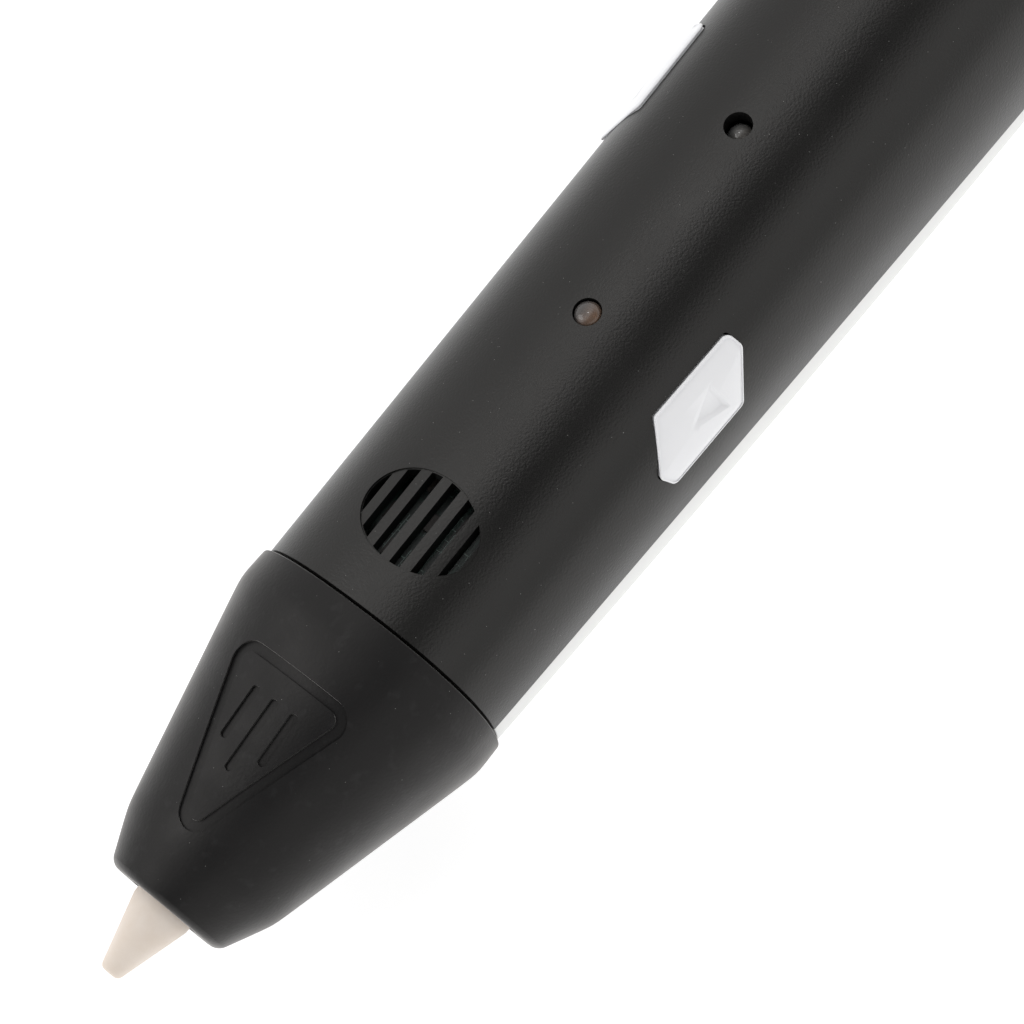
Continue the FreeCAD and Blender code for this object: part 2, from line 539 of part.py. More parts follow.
def feed_drive():
    save("feed_block", feed_block())
    screws = []
    for x, y in BLOCK_SCREWS:
        head = rod(1.6, (x, y, BLOCK_Z), (x, y, BLOCK_Z + 1.1))
        screws.append(head.fuse(rod(0.8, (x, y, BLOCK_Z - 5), (x, y, BLOCK_Z + 0.5))))
    save("feed_block_screws", *screws)
    bushes = [tube(1.8, SHAFT_R + 0.04, (FEED_X, y, SHAFT_Z), (FEED_X, y + 1.8, SHAFT_Z)) for y in (-8, 8.6)]
    save("feed_shaft_bushes", *bushes)
    save("feed_shaft", rod(SHAFT_R, (FEED_X, -8.2, SHAFT_Z), (FEED_X, 10.2, SHAFT_Z)))
    save("feed_wheel", feed_wheel())
    save("crown_gear", crown_gear())
    idler()

    shaft = fuse(rod(1.5, (PINION_X + 2.2, 0, 0), (MOTOR_X + 3, 0, 0)),
                 rod(0.8, (PINION_X - FACE_WIDTH / 2, 0, 0), (PINION_X + 2.4, 0, 0)))
    shaft.translate(Vec(0, MOTOR_Y, SHAFT_Z))
    save("motor_shaft", shaft)
    save("motor_pinion", pinion())
    gearbox = box(MOTOR_X, MOTOR_X + GEARBOX_LENGTH, MOTOR_Y - MOTOR_FLAT, MOTOR_Y + MOTOR_FLAT,
                  SHAFT_Z - MOTOR_R,
                  SHAFT_Z + MOTOR_R)
    window = box(MOTOR_X + 1, MOTOR_X + GEARBOX_LENGTH - 1, -40, 40, SHAFT_Z - 3, SHAFT_Z + 3)
    sides = window.cut(box(MOTOR_X, MOTOR_X + GEARBOX_LENGTH, MOTOR_Y - 4, MOTOR_Y + 4, -40, 40))
    bore = rod(1.54, (MOTOR_X - 1, MOTOR_Y, SHAFT_Z), (MOTOR_X + 3.5, MOTOR_Y, SHAFT_Z))
    taps = [rod(0.62, (MOTOR_X - 1, MOTOR_Y, SHAFT_Z + z), (MOTOR_X + 3.6, MOTOR_Y, SHAFT_Z + z))
            for z in (-4.5, 4.5)]
    save("gearbox_case", gearbox.cut([sides, bore] + taps))
    motor_screws = []
    for z in (SHAFT_Z - 4.5, SHAFT_Z + 4.5):
        head = rod(1.3, (MOTOR_X - 2.5, MOTOR_Y, z), (MOTOR_X - 1.6, MOTOR_Y, z))
        motor_screws.append(head.fuse(rod(0.6, (MOTOR_X - 2, MOTOR_Y, z), (MOTOR_X + 2.5, MOTOR_Y, z))))
    save("motor_screws", *motor_screws)
    can_x = MOTOR_X + GEARBOX_LENGTH
    flats = box(can_x, can_x + CAN_LENGTH, MOTOR_Y - MOTOR_FLAT, MOTOR_Y + MOTOR_FLAT, -40, 40)
    can = rod(MOTOR_R, (can_x, MOTOR_Y, SHAFT_Z), (can_x + CAN_LENGTH, MOTOR_Y, SHAFT_Z)).common(flats)
    save("motor_can", can)
    cap = rod(4.6, (can_x + CAN_LENGTH, MOTOR_Y, SHAFT_Z), (can_x + CAN_LENGTH + 1.4, MOTOR_Y, SHAFT_Z))
    save("motor_end_cap", cap)

    save("front_guide_tube", tube(TUBE_R, FILAMENT_BORE, (-5.9, 0, 0), (76.0, 0, 0)))
    save("rear_guide_tube", tube(TUBE_R, FILAMENT_BORE, (91.5, 0, 0), (133.0, 0, 0)))
    flange = rod(BUSH_R + 0.9, (136.6, 0, 0), (137.9, 0, 0))
    bush = rod(BUSH_R, (131.0, 0, 0), (TAIL_X - 0.1, 0, 0)).fuse(flange)
    save("inlet_bush", bush.cut([rod(TUBE_R + 0.02, (130, 0, 0), (133, 0, 0)),
                                 rod(BUSH_BORE, (132, 0, 0), (141, 0, 0))]))


# ---- electrics ----------------------------------------------------------------------------------------
def main_board():
    """Circuit board: wide under the vent, narrow between the buttons."""
    wide = box(BOARD_START, BOARD_STEP, -9, 9, BOARD_Z, BOARD_Z + BOARD_T)
    narrow = box(BOARD_STEP - 1, BOARD_END, -4.6, 4.6, BOARD_Z, BOARD_Z + BOARD_T)
    holes = [rod(0.9, (x, y, BOARD_Z - 1), (x, y, BOARD_Z + 3)) for x, y in BOARD_SCREWS]
    return wide.fuse(narrow).cut(holes)


def led(x):
    """Domed three millimetre lamp standing on the board."""
    dome_z = LED_TOP_Z - LED_R
    dome = Part.makeSphere(LED_R, Vec(x, 0, dome_z)).common(box(x - 3, x + 3, -3, 3, dome_z, dome_z + 3))
    legs = [box(x + d - 0.22, x + d + 0.22, -0.22, 0.22, BOARD_Z + BOARD_T, LED_TOP_Z - 5.0)
            for d in (-0.9, 0.9)]
    body = rod(LED_R, (x, 0, LED_TOP_Z - 5.2), (x, 0, dome_z))
    flange = rod(1.75, (x, 0, LED_TOP_Z - 5.2), (x, 0, LED_TOP_Z - 4.3))
    return fuse(body, dome, flange, *legs)


def electrics():
    top = BOARD_Z + BOARD_T
    save("main_board", main_board())
    screws = []
    for x, y in BOARD_SCREWS:
        head = rod(1.3, (x, y, BOARD_Z - 0.9), (x, y, BOARD_Z))
        screws.append(head.fuse(rod(0.6, (x, y, BOARD_Z - 0.5), (x, y, top + 2))))
    save("board_screws", *screws)
    save("controller_chip", box(26, 33, -3.4, 3.4, top, top + 1.5))
    chips = [(6.4, -4.6), (6.4, -1.4), (6.4, 1.8), (9.6, 4.2),
             (11.0, -0.2), (12.6, -3.4), (14.6, 3.0), (16.6, -0.6)]
    save("board_components", *[box(x, x + 2.0, y, y + 1.25, top, top + 0.6) for x, y in chips])
    save("capacitor", rod(2.4, (45.5, 0, top), (45.5, 0, top + 4.2)))
    save("heater_transistor", box(56, 60.6, -3.2, 3.2, BOARD_Z - 2.3, BOARD_Z))
    for name, x in LED_XS.items():
        save(name, led(x))

    screws = []
    for name, x, side in (("load", LOAD_X, -1), ("unload", UNLOAD_X, 1)):
        body, plunger, board = switch_pieces(x, side)
        save(f"{name}_button", button_cap(x, side))
        save(f"{name}_switch_case", body)
        save(f"{name}_switch_plunger", plunger)
        save(f"{name}_switch_board", board)
        screws += switch_screws(x, side)
    save("switch_board_screws", *screws)


def speed_slider():
    reach = KNOB_TRAVEL + 1.4
    case = box(KNOB_X - 9, KNOB_X + 9, -3.6, 3.6, SLIDER_Z, SLIDER_Z + 4.0)
    case = case.cut(box(KNOB_X - reach, KNOB_X + reach, -1.1, 1.1, SLIDER_Z + 0.8, SLIDER_Z + 5))
    save("slider_case", case)
    lever = box(KNOB_X - 1.0, KNOB_X + 1.0, -0.8, 0.8, SLIDER_Z + 1.2, 19.0)
    save("slider_lever", lever)
    base = casing_form(-0.3, KNOB_X - 12, KNOB_X + 12)
    block = box(KNOB_X - 5.6, KNOB_X + 5.6, -3.4, 3.4, 12, 19.4).cut(base)
    block = block.makeFillet(0.6, [e for e in block.Edges if e.BoundBox.ZMin > 19.3])
    grooves = [box(KNOB_X + d - 0.3, KNOB_X + d + 0.3, -5, 5, 18.95, 21) for d in (-3, -1.5, 0, 1.5, 3)]
    save("speed_knob", block.cut(grooves + [lever]))


def fan():
    z0, z1 = FAN_TOP_Z - FAN_DEPTH, FAN_TOP_Z
    half = FAN_SIZE / 2
    frame = box(FAN_X - half, FAN_X + half, -half, half, z0, z1)
    frame = frame.cut(rod(8.4, (FAN_X, 0, z0 - 1), (FAN_X, 0, z1 + 1)))
    holes = [rod(0.8, (FAN_X + sx, sy, z0 - 1), (FAN_X + sx, sy, z1 + 1))
             for sx in (1.6 - half, half - 1.6) for sy in (1.6 - half, half - 1.6)]
    carrier = rod(3.4, (FAN_X, 0, z0), (FAN_X, 0, z0 + 0.9))
    struts = []
    for angle in (45, 135, 225, 315):
        strut = box(3.0, 8.8, -0.5, 0.5, z0, z0 + 0.9)
        strut.rotate(Vec(0, 0, 0), Z_AXIS, angle)
        strut.translate(Vec(FAN_X, 0, 0))
        struts.append(strut)
    boss = rod(1.2, (FAN_X, 0, z0), (FAN_X, 0, z0 + 2.6))
    bearing = rod(0.64, (FAN_X, 0, z0 + 0.4), (FAN_X, 0, z0 + 4))
    housing = fuse(frame.cut(holes), carrier, boss, *struts).cut(bearing)
    save("fan_housing", housing)

    cup = rod(3.6, (0, 0, z0 + 1.3), (0, 0, z1 - 0.3)).cut(rod(2.9, (0, 0, z0 + 1), (0, 0, z1 - 1.2)))
    axle = rod(0.6, (0, 0, z0 + 0.8), (0, 0, z1 - 1))
    blade = prism([(3.3, -1.1, z0 + 1.6), (3.3, -0.5, z0 + 1.6), (3.3, 1.7, z1 - 0.5), (3.3, 1.1, z1 - 0.5)],
                  Vec(4.6, 0, 0))
    blades = []
    for i in range(7):
        turned_blade = blade.copy()
        turned_blade.rotate(Vec(0, 0, 0), Z_AXIS, 360 * i / 7)
        blades.append(turned_blade)
    rotor = fuse(cup, axle, *blades)
    rotor.translate(Vec(FAN_X, 0, 0))
    save("fan_rotor", rotor)
    mounts = []
    for sx in (1.6 - half, half - 1.6):
        for sy in (1.6 - half, half - 1.6):
            x, y = FAN_X + sx, sy
            shank = rod(0.7, (x, y, z0 - 2), (x, y, z1 + 0.4))
            mounts.append(rod(1.3, (x, y, z1), (x, y, z1 + 0.8)).fuse(shank))
    save("fan_screws", *mounts)


def socket():
    x0, x1 = 125.0, TAIL_X - TAIL_WALL - 0.05
    room = casing_form(WALL + 0.15, x0 - 5, x1, rounded=TAIL_ROUND - WALL)
    body = box(x0, x1, -4.5, 4.5, JACK_Z - 4.45, JACK_Z + 4.5).common(room)
    barrel = rod(JACK_BARREL_R, (x0 + 2, 0, JACK_Z), (x1 + 1, 0, JACK_Z))
    leaf_slot = box(x0 + 3, x0 + 8, -0.9, 0.9, JACK_Z + 2.5, JACK_Z + 4.0)
    save("dc_jack_housing", body.cut([barrel, leaf_slot, rod(1.0, (x0 - 1, 0, JACK_Z), (x0 + 3, 0, JACK_Z))]))
    pin = rod(1.0, (x0 - 1.5, 0, JACK_Z), (x0 + 9.7, 0, JACK_Z))
    save("dc_jack_pin", pin.fuse(Part.makeSphere(1.0, Vec(x0 + 9.7, 0, JACK_Z))))
    leaf = box(x0 + 3.2, x0 + 7.8, -0.8, 0.8, JACK_Z + 3.1, JACK_Z + 3.4)
    save("dc_jack_spring", leaf)


def fasteners_and_leads():
    screws = []
    for x, y in CASE_SCREWS:
        seam = PARTING_Z + PARTING_SLOPE * x
        head = rod(1.9, (x, y, CASE_SCREW_Z - 1.5), (x, y, CASE_SCREW_Z)).cut(
            box(x - 1.1, x + 1.1, y - 0.25, y + 0.25, CASE_SCREW_Z - 2, CASE_SCREW_Z - 1)).cut(
            box(x - 0.25, x + 0.25, y - 1.1, y + 1.1, CASE_SCREW_Z - 2, CASE_SCREW_Z - 1))
        screws.append(head.fuse(rod(0.95, (x, y, CASE_SCREW_Z - 0.5), (x, y, seam + 5.5))))
    save("case_screws", *screws)

    heater = [[(-18.6, y, 3.9), (-14.5, y, 5.6), (-9, y, 6.6), (0, y, 6.3), (7, y, BOARD_Z - 0.45)]
              for y in (-0.9, 0.9)]
    save("heater_leads", *[wire_tube(route, 0.4) for route in heater])
    motor = [[(120.8, 5.0 + d, -3.6), (123.2 - d, 0, -3.2), (120 - d, -7.0, 0), (108, -12.2 - d, 2.0),
              (92, -12.2 - d, 2.0), (76, -11.6 - d, 2.0), (69, -5.0 - d, 5.0), (64, -3.0 - d, BOARD_Z - 0.5)]
             for d in (0, 1.0)]
    save("motor_leads", *[wire_tube(route, 0.4) for route in motor])


def main():
    os.makedirs("parts", exist_ok=True)
    upper, lower = casing_halves()
    save("upper_shell", upper)
    save("lower_shell", lower)
    save("nose_cone", nose_cone())
    hot_end()
    feed_drive()
    electrics()
    speed_slider()
    fan()
    socket()
    fasteners_and_leads()


main()
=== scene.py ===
"""Three d pen on a white studio floor.

The CAD frame carries the motion, and the pieces made here carry the looks.  Lengths are written in
millimetres in the pen's own lines: X = 0 is the seam between nose cone and casing, and Z = 0 is the filament
path.  TO_FRAME shifts them to the frame's origin and turns them into metres.
"""
import bmesh
import bpy
import json
import math
from mathutils import Matrix, Vector


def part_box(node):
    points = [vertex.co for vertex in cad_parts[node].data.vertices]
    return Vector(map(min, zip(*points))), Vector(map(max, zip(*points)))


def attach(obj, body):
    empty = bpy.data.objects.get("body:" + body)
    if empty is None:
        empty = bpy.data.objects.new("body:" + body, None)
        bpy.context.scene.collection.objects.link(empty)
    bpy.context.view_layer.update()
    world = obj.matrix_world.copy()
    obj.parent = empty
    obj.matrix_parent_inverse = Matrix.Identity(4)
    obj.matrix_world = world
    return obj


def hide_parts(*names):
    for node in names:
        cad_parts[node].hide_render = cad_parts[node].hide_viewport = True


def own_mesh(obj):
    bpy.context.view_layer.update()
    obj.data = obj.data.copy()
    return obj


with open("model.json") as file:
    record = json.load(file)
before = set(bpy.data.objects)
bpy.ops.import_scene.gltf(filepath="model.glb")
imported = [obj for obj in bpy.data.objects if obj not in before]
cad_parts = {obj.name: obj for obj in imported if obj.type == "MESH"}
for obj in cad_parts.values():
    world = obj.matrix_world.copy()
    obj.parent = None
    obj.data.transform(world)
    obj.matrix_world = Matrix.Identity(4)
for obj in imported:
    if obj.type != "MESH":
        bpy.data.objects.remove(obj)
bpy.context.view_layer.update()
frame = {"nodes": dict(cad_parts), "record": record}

MM = 0.001
NODES = frame["nodes"]
TAU = 2 * math.pi

# ---- driving dimensions, in the pen's own lines -------------------------------------------------------
TIP_X, TAIL_X = -44.0, 140.0
BELLY_Z = -20.8
SEAM = 0.15                                     # half the gap between nose cone and casing
WALL, TAIL_WALL, TAIL_ROUND = 1.8, 2.0, 6.0
TOP_POWER, LOW_POWER = 2.25, 2.1                # of the superellipse above and below the filament path
RING, RING_STEP = 160, 2.0                      # points round a section, and distance between sections
PARTING_Z, PARTING_SLOPE = -1.2, -0.02          # plane where the casing's halves meet
PARTING_GAP = 0.04

CONE_RIM_X, CONE_KNEE_X, CONE_SHOULDER_X = -35.3, -29.6, -3.8
CONE_BEND = 1.6                                 # length over which the cone's slope changes
CONE_WALL, CONE_BORE_R = 2.0, 4.2
NECK_INSET, NECK_BORE_INSET = 2.5, 3.7          # neck of the casing inside the cone
MARK_DEPTH, STROKE_PITCH, STROKE_HALF = 0.35, 2.6, 0.5

BUTTON_TILT = math.radians(28)
LOAD_X, UNLOAD_X = 38.1, 65.3
BUTTON_CORNERS = [(-3.95, 4.4), (7.9, 4.4), (8.2, 2.2), (4.45, -3.5), (-6.8, -3.5), (-7.85, -1.1)]
BUTTON_CORNER_R, BUTTON_PROUD, BUTTON_EDGE, BUTTON_FOOT = 0.9, 0.45, 0.22, -3.3
OPENING_GAP, OPENING_CORNER_R = 0.045, 0.5
FLANGE_GROWTH, FLANGE_FOOT = 0.4, -4.1
ARROW_CORNERS = [(2.6, 2.25), (3.0, -1.75), (-2.0, 0.15)]

VENT_X, VENT_STEP = 10.7, 0.18
VENT_ALONG, VENT_ACROSS, VENT_REACH = 5.3, 7, 9     # half sizes of the oval, and how far its cutters reach
SLOTS, SLOT_PITCH, SLOT_SHIFT, SLOT_HALF = 6, 2.49, 0.375, 0.65

LAMP_R, LAMP_HOLE_R = 1.5, 1.58
LAMP_FLANGE_R, LAMP_FLANGE_TOP, LAMP_FOOT = 1.75, 4.3, 5.2      # the last two below the lamp's top
LEG_OUT, LEG_HALF = 0.9, 0.22
BUSH_HOLE_R = 2.65
SOCKET_Z, SOCKET_HOLE_R = -8.2, 3.3
SCREWS, SCREW_HOLE_R = [(27.0, 8.6), (53.0, -8.6), (100.0, -8.6), (124.6, 8.6)], 2.1

ORIGIN = Vector((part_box("ceramic_nozzle")[0].x / MM - TIP_X, 0, -BELLY_Z))
TO_FRAME = Matrix.Scale(MM, 4) @ Matrix.Translation(ORIGIN)     # from the pen's own lines to the frame


# ---- mesh helpers -------------------------------------------------------------------------------------
def make(name, verts, faces):
    mesh = bpy.data.meshes.new(name)
    mesh.from_pydata(verts, [], faces)
    mesh.validate()
    piece = bpy.data.objects.new(name, mesh)
    bpy.context.scene.collection.objects.link(piece)
    return piece


def ring_solid(name, rings, closed_loop=False):
    """A closed body through rings of equal length.  A loop joins its last ring to its first, like a tyre."""
    n = len(rings[0])
    verts = [p for ring in rings for p in ring]
    faces = []
    pairs = len(rings) if closed_loop else len(rings) - 1
    for i in range(pairs):
        a, b = i * n, ((i + 1) % len(rings)) * n
        for k in range(n):
            k2 = (k + 1) % n
            faces.append((a + k, a + k2, b + k2, b + k))
    if not closed_loop:
        faces.append(tuple(reversed(range(n))))
        faces.append(tuple(range((len(rings) - 1) * n, len(rings) * n)))
    piece = make(name, verts, faces)
    face_outwards(piece)
    return piece


def face_outwards(piece):
    bm = bmesh.new()
    bm.from_mesh(piece.data)
    bmesh.ops.recalc_face_normals(bm, faces=bm.faces)
    bm.to_mesh(piece.data)
    bm.free()


def settle(piece):
    """Applies a piece's modifiers to its mesh."""
    depsgraph = bpy.context.evaluated_depsgraph_get()
    mesh = bpy.data.meshes.new_from_object(piece.evaluated_get(depsgraph))
    old = piece.data
    piece.modifiers.clear()
    piece.data = mesh
    bpy.data.meshes.remove(old)


def discard(piece):
    mesh = piece.data
    bpy.data.objects.remove(piece)
    bpy.data.meshes.remove(mesh)


def carve(piece, cutters, operation="DIFFERENCE"):
    """Cuts a piece by each cutter, or keeps what they share.  The cutters are used up."""
    for cutter in cutters:
        modifier = piece.modifiers.new("carve", "BOOLEAN")
        modifier.operation, modifier.solver, modifier.object = operation, "EXACT", cutter
        settle(piece)
        discard(cutter)
    return piece


def smooth(piece, angle=42):
    """Welds what booleans leave double, shades the piece smoothly and keeps its real edges sharp."""
    bm = bmesh.new()
    bm.from_mesh(piece.data)
    bmesh.ops.remove_doubles(bm, verts=bm.verts, dist=0.003)
    bmesh.ops.dissolve_degenerate(bm, edges=bm.edges, dist=0.003)
    bm.to_mesh(piece.data)
    bm.free()
    piece.data.shade_smooth()
    piece.data.set_sharp_from_angle(angle=math.radians(angle))


def follow_form(piece, size_at, power_at):
    """Gives the outer skin its exact normals, so that cuts through it leave no ripples in its gloss."""
    def form(x, y, z):
        width, top, low = size_at(x)
        up_power, down_power = power_at(x)
        power, height = (up_power, top) if z >= 0 else (down_power, low)
        return abs(y / width) ** power + abs(z / height) ** power

    def normal_at(point):
        x, y, z = point
        h = 0.01
        grad = Vector((form(x + h, y, z) - form(x - h, y, z), form(x, y + h, z) - form(x, y - h, z),
                       form(x, y, z + h) - form(x, y, z - h)))
        return grad.normalized()

    mesh = piece.data
    normals = [corner.vector.copy() for corner in mesh.corner_normals]
    for face in mesh.polygons:
        if face.normal.dot(normal_at(face.center)) > 0.97:
            for corner in face.loop_indices:
                normals[corner] = normal_at(mesh.vertices[mesh.loops[corner].vertex_index].co)
    mesh.normals_split_custom_set(normals)


def finish_piece(piece, body, slot, *replaced):
    """Sets a piece in the frame with its slot's material, in place of the CAD nodes it stands for."""
    piece.data.transform(TO_FRAME)
    piece.data.materials.clear()
    piece.data.materials.append(MATERIALS[slot])
    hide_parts(*replaced)
    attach(piece, body)


def block(name, x0, x1, y0, y1, z0, z1):
    return ring_solid(name, [[(x0, y0, z), (x1, y0, z), (x1, y1, z), (x0, y1, z)] for z in (z0, z1)])


def grown(corners, growth):
    """The corners of a convex outline whose sides are all moved outwards."""
    moved = []
    for i in range(len(corners)):
        here, before, after = (Vector(corners[(i + d) % len(corners)]) for d in (0, -1, 1))
        back, on = (before - here).normalized(), (after - here).normalized()
        moved.append((here - (back + on).normalized() * (growth / math.sin(back.angle(on) / 2)))[:])
    return moved


def rounded_outline(corners, radius, steps=6):
    """A closed flat outline with each corner turned into an arc."""
    points = []
    count = len(corners)
    for i in range(count):
        here, before, after = (Vector(corners[(i + d) % count]) for d in (0, -1, 1))
        back, on = (before - here).normalized(), (after - here).normalized()
        half = back.angle(on) / 2
        reach = radius / math.tan(half)
        centre = here + (back + on).normalized() * (radius / math.sin(half))
        start, end = here + back * reach - centre, here + on * reach - centre
        for k in range(steps + 1):
            t = k / steps
            turn = start.slerp(end, t) * radius if start.angle(end) > 0.001 else start
            points.append((centre + turn)[:])
    return points


def circle(u, v, radius, count=48):
    return [(u + radius * math.cos(TAU * k / count), v + radius * math.sin(TAU * k / count))
            for k in range(count)]


def lathe(profile, axis="X", at=(0, 0, 0), count=64):
    """Rings of a body of revolution, one for each (along, radius) point of its profile."""
    rings = []
    for along, radius in profile:
        ring = []
        for k in range(count):
            a = TAU * k / count
            u, v = radius * math.cos(a), radius * math.sin(a)
            offset = (along, u, v) if axis == "X" else (u, v, along)
            ring.append(tuple(p + q for p, q in zip(at, offset)))
        rings.append(ring)
    return rings


# ---- form of casing and cone --------------------------------------------------------------------------
def casing_size(x):
    """Half width, height of the top and depth of the belly, all drawn in towards the tail."""
    tail = (max(x, 0.0) / TAIL_X) ** 6
    return (15.3 + 0.0165 * x - 1.1 * tail, 13.3 + 0.043 * x - 2.6 * tail,
            17.1 + 0.13 * x - 0.0009 * x * x - 1.6 * tail)


def soft_ramp(x, corner, width):
    """0 before the corner and x - corner after it, with a bend about as long as the width."""
    t = (x - corner) / (width / 2)
    return width / 4 * (math.sqrt(t * t + 1) + t)


def cone_size(x):
    """The cone's three measures: those of its rim, and slopes that change at the knee and at the shoulder."""
    rim = (7.1, 6.9, 7.1)
    nose, flank, collar = (0.465, 0.316, 0.69), (0.242, 0.203, 0.25), (-0.04, -0.04, 0.0)
    knee = soft_ramp(x, CONE_KNEE_X, CONE_BEND)
    shoulder = soft_ramp(x, CONE_SHOULDER_X, CONE_BEND)
    return tuple(r + (x - CONE_RIM_X) * a + knee * (b - a) + shoulder * (c - b)
                 for r, a, b, c in zip(rim, nose, flank, collar))


def section(x, size, inset=0.0, top_power=TOP_POWER, low_power=LOW_POWER):
    """A superellipse across the pen."""
    width, top, low = (s - inset for s in size)
    ring = []
    for k in range(RING):
        a = TAU * k / RING
        c, s = math.cos(a), math.sin(a)
        power, height = (top_power, top) if s >= 0 else (low_power, low)
        y = math.copysign(abs(c) ** (2 / power), c) * width
        z = math.copysign(abs(s) ** (2 / power), s) * height
        ring.append((x, y, z))
    return ring


def steps_between(start, end, step):
    count = max(1, round((end - start) / step))
    return [start + (end - start) * i / count for i in range(count + 1)]


def rounding(radius, count=8):
    """(distance back from a flat end, extra inset) pairs along a quarter circle that ends on the flat."""
    turns = [math.pi / 2 * i / count for i in range(count + 1)]
    return [(radius * (1 - math.sin(t)), radius * (1 - math.cos(t))) for t in turns]


def casing_rings(inset, start, end, rounded=0.0):
    """Sections of the casing's form from start to end, at a depth, with the end rounded over."""
    places = [(x, inset) for x in steps_between(start, end - rounded, RING_STEP)]
    if rounded:
        places = places[:-1] + [(end - back, inset + extra) for back, extra in rounding(rounded)]
    return [section(x, casing_size(x), depth) for x, depth in places]


def cone_powers(x):
    """Powers of the cone's section, from a circle at the rim to the casing's at the shoulder."""
    share = min(1.0, max(0.0, (x - CONE_RIM_X) / (CONE_SHOULDER_X - CONE_RIM_X)))
    return 2 + share * (TOP_POWER - 2), 2 + share * (LOW_POWER - 2)


def cone_section(x, inset=0.0):
    return section(x, cone_size(x), inset, *cone_powers(x))


# ---- materials ----------------------------------------------------------------------------------------
DUST = (0.24, 0.24, 0.23)


def set_range(node, *limits):
    """Sets a map range node's limits: from low and high, to low and high."""
    for socket, value in zip(("From Min", "From Max", "To Min", "To Max"), limits):
        node.inputs[socket].default_value = value


class Paint:
    """A principled material whose nodes are added one by one."""

    def __init__(self, name, color, roughness, **sockets):
        self.material = bpy.data.materials.new(name)
        self.material.use_nodes = True
        self.tree = self.material.node_tree
        self.shader = self.tree.nodes["Principled BSDF"]
        self.shader.inputs["Base Color"].default_value = (*color, 1)
        self.shader.inputs["Roughness"].default_value = roughness
        for socket, value in sockets.items():
            self.shader.inputs[socket.replace("_", " ")].default_value = value
        self.coordinates = self.node("ShaderNodeTexCoord").outputs["Object"]
        self.height = None

    def node(self, kind, **values):
        made = self.tree.nodes.new(kind)
        for key, value in values.items():
            setattr(made, key, value)
        return made

    def link(self, source, target):
        self.tree.links.new(source, target)

    def noise(self, size_mm, detail=3.0, stretch=None):
        """Noise whose features are about size_mm across."""
        made = self.node("ShaderNodeTexNoise")
        made.inputs["Scale"].default_value = 1 / (size_mm * MM)
        made.inputs["Detail"].default_value = detail
        source = self.coordinates
        if stretch:
            mapping = self.node("ShaderNodeMapping")
            mapping.inputs["Scale"].default_value = stretch
            self.link(source, mapping.inputs["Vector"])
            source = mapping.outputs["Vector"]
        self.link(source, made.inputs["Vector"])
        return made.outputs["Fac"]

    def spread(self, factor, low_in, high_in, low_out, high_out):
        made = self.node("ShaderNodeMapRange")
        set_range(made, low_in, high_in, low_out, high_out)
        self.link(factor, made.inputs["Value"])
        return made.outputs["Result"]

    def product(self, first, second):
        made = self.node("ShaderNodeMath", operation="MULTIPLY")
        self.link(first, made.inputs[0])
        self.link(second, made.inputs[1])
        return made.outputs[0]

    def blend(self, factor, first, second):
        """Mixes two colours, each a triple or a socket, by a factor socket."""
        made = self.node("ShaderNodeMix", data_type="RGBA")
        self.link(factor, made.inputs[0])
        for socket, value in ((made.inputs[6], first), (made.inputs[7], second)):
            if isinstance(value, tuple):
                socket.default_value = (*value, 1)
            else:
                self.link(value, socket)
        return made.outputs[2]

    def color(self, source):
        self.link(source, self.shader.inputs["Base Color"])

    def rough(self, source):
        self.link(source, self.shader.inputs["Roughness"])

    def bump(self, source, depth_mm, strength=1.0):
        made = self.node("ShaderNodeBump")
        made.inputs["Strength"].default_value = strength
        made.inputs["Distance"].default_value = depth_mm * MM
        self.link(source, made.inputs["Height"])
        if self.height:
            self.link(self.height, made.inputs["Normal"])
        self.height = made.outputs["Normal"]
        self.link(self.height, self.shader.inputs["Normal"])


def specks(paint, size_mm, share, radius_mm):
    """A factor that is 1 on sparse small spots, like dust."""
    cells = paint.node("ShaderNodeTexVoronoi")
    cells.inputs["Scale"].default_value = 1 / (size_mm * MM)
    paint.link(paint.coordinates, cells.inputs["Vector"])
    reach = radius_mm / size_mm
    spot = paint.spread(cells.outputs["Distance"], reach * 0.6, reach * 1.2, 1.0, 0.0)
    chosen = paint.node("ShaderNodeSeparateColor")
    paint.link(cells.outputs["Color"], chosen.inputs["Color"])
    pick = paint.spread(chosen.outputs[0], 1 - share, 1 - share + 0.01, 0.0, 1.0)
    return paint.product(spot, pick)


def dusty(paint, base, *layers):
    """Lays dust over a colour, each layer a (cell size in mm, share of cells, radius in mm)."""
    for layer in layers:
        base = paint.blend(specks(paint, *layer), base, DUST)
    paint.color(base)


def black_shell():
    black = (0.0045, 0.0045, 0.0043)
    paint = Paint("black_shell", black, 0.33, Specular_Tint=(1.0, 0.975, 0.95, 1))
    paint.rough(paint.spread(paint.noise(9.0), 0.3, 0.7, 0.30, 0.36))
    dusty(paint, black, (0.7, 0.30, 0.038), (1.9, 0.16, 0.055))
    paint.bump(paint.noise(0.27, 2.5), 0.036, 0.9)
    return paint.material


def cone_rubber():
    black = (0.004, 0.004, 0.0046)
    paint = Paint("cone_rubber", black, 0.45, Specular_IOR_Level=0.30, Specular_Tint=(1.0, 0.965, 0.93, 1),
                  Sheen_Weight=0.40, Sheen_Roughness=0.35, Sheen_Tint=(1.0, 0.96, 0.93, 1))
    worn = paint.noise(5.0, 5.0)
    paint.rough(paint.spread(worn, 0.3, 0.7, 0.40, 0.52))
    patches = paint.spread(paint.noise(1.4, 6.0), 0.58, 0.75, 0.0, 0.5)
    chalk = paint.blend(patches, black, (0.016, 0.016, 0.017))
    dusty(paint, chalk, (0.8, 0.22, 0.038), (1.9, 0.16, 0.06))
    paint.bump(paint.noise(0.35, 3.0), 0.03, 0.7)
    paint.bump(worn, 0.08, 0.5)
    return paint.material


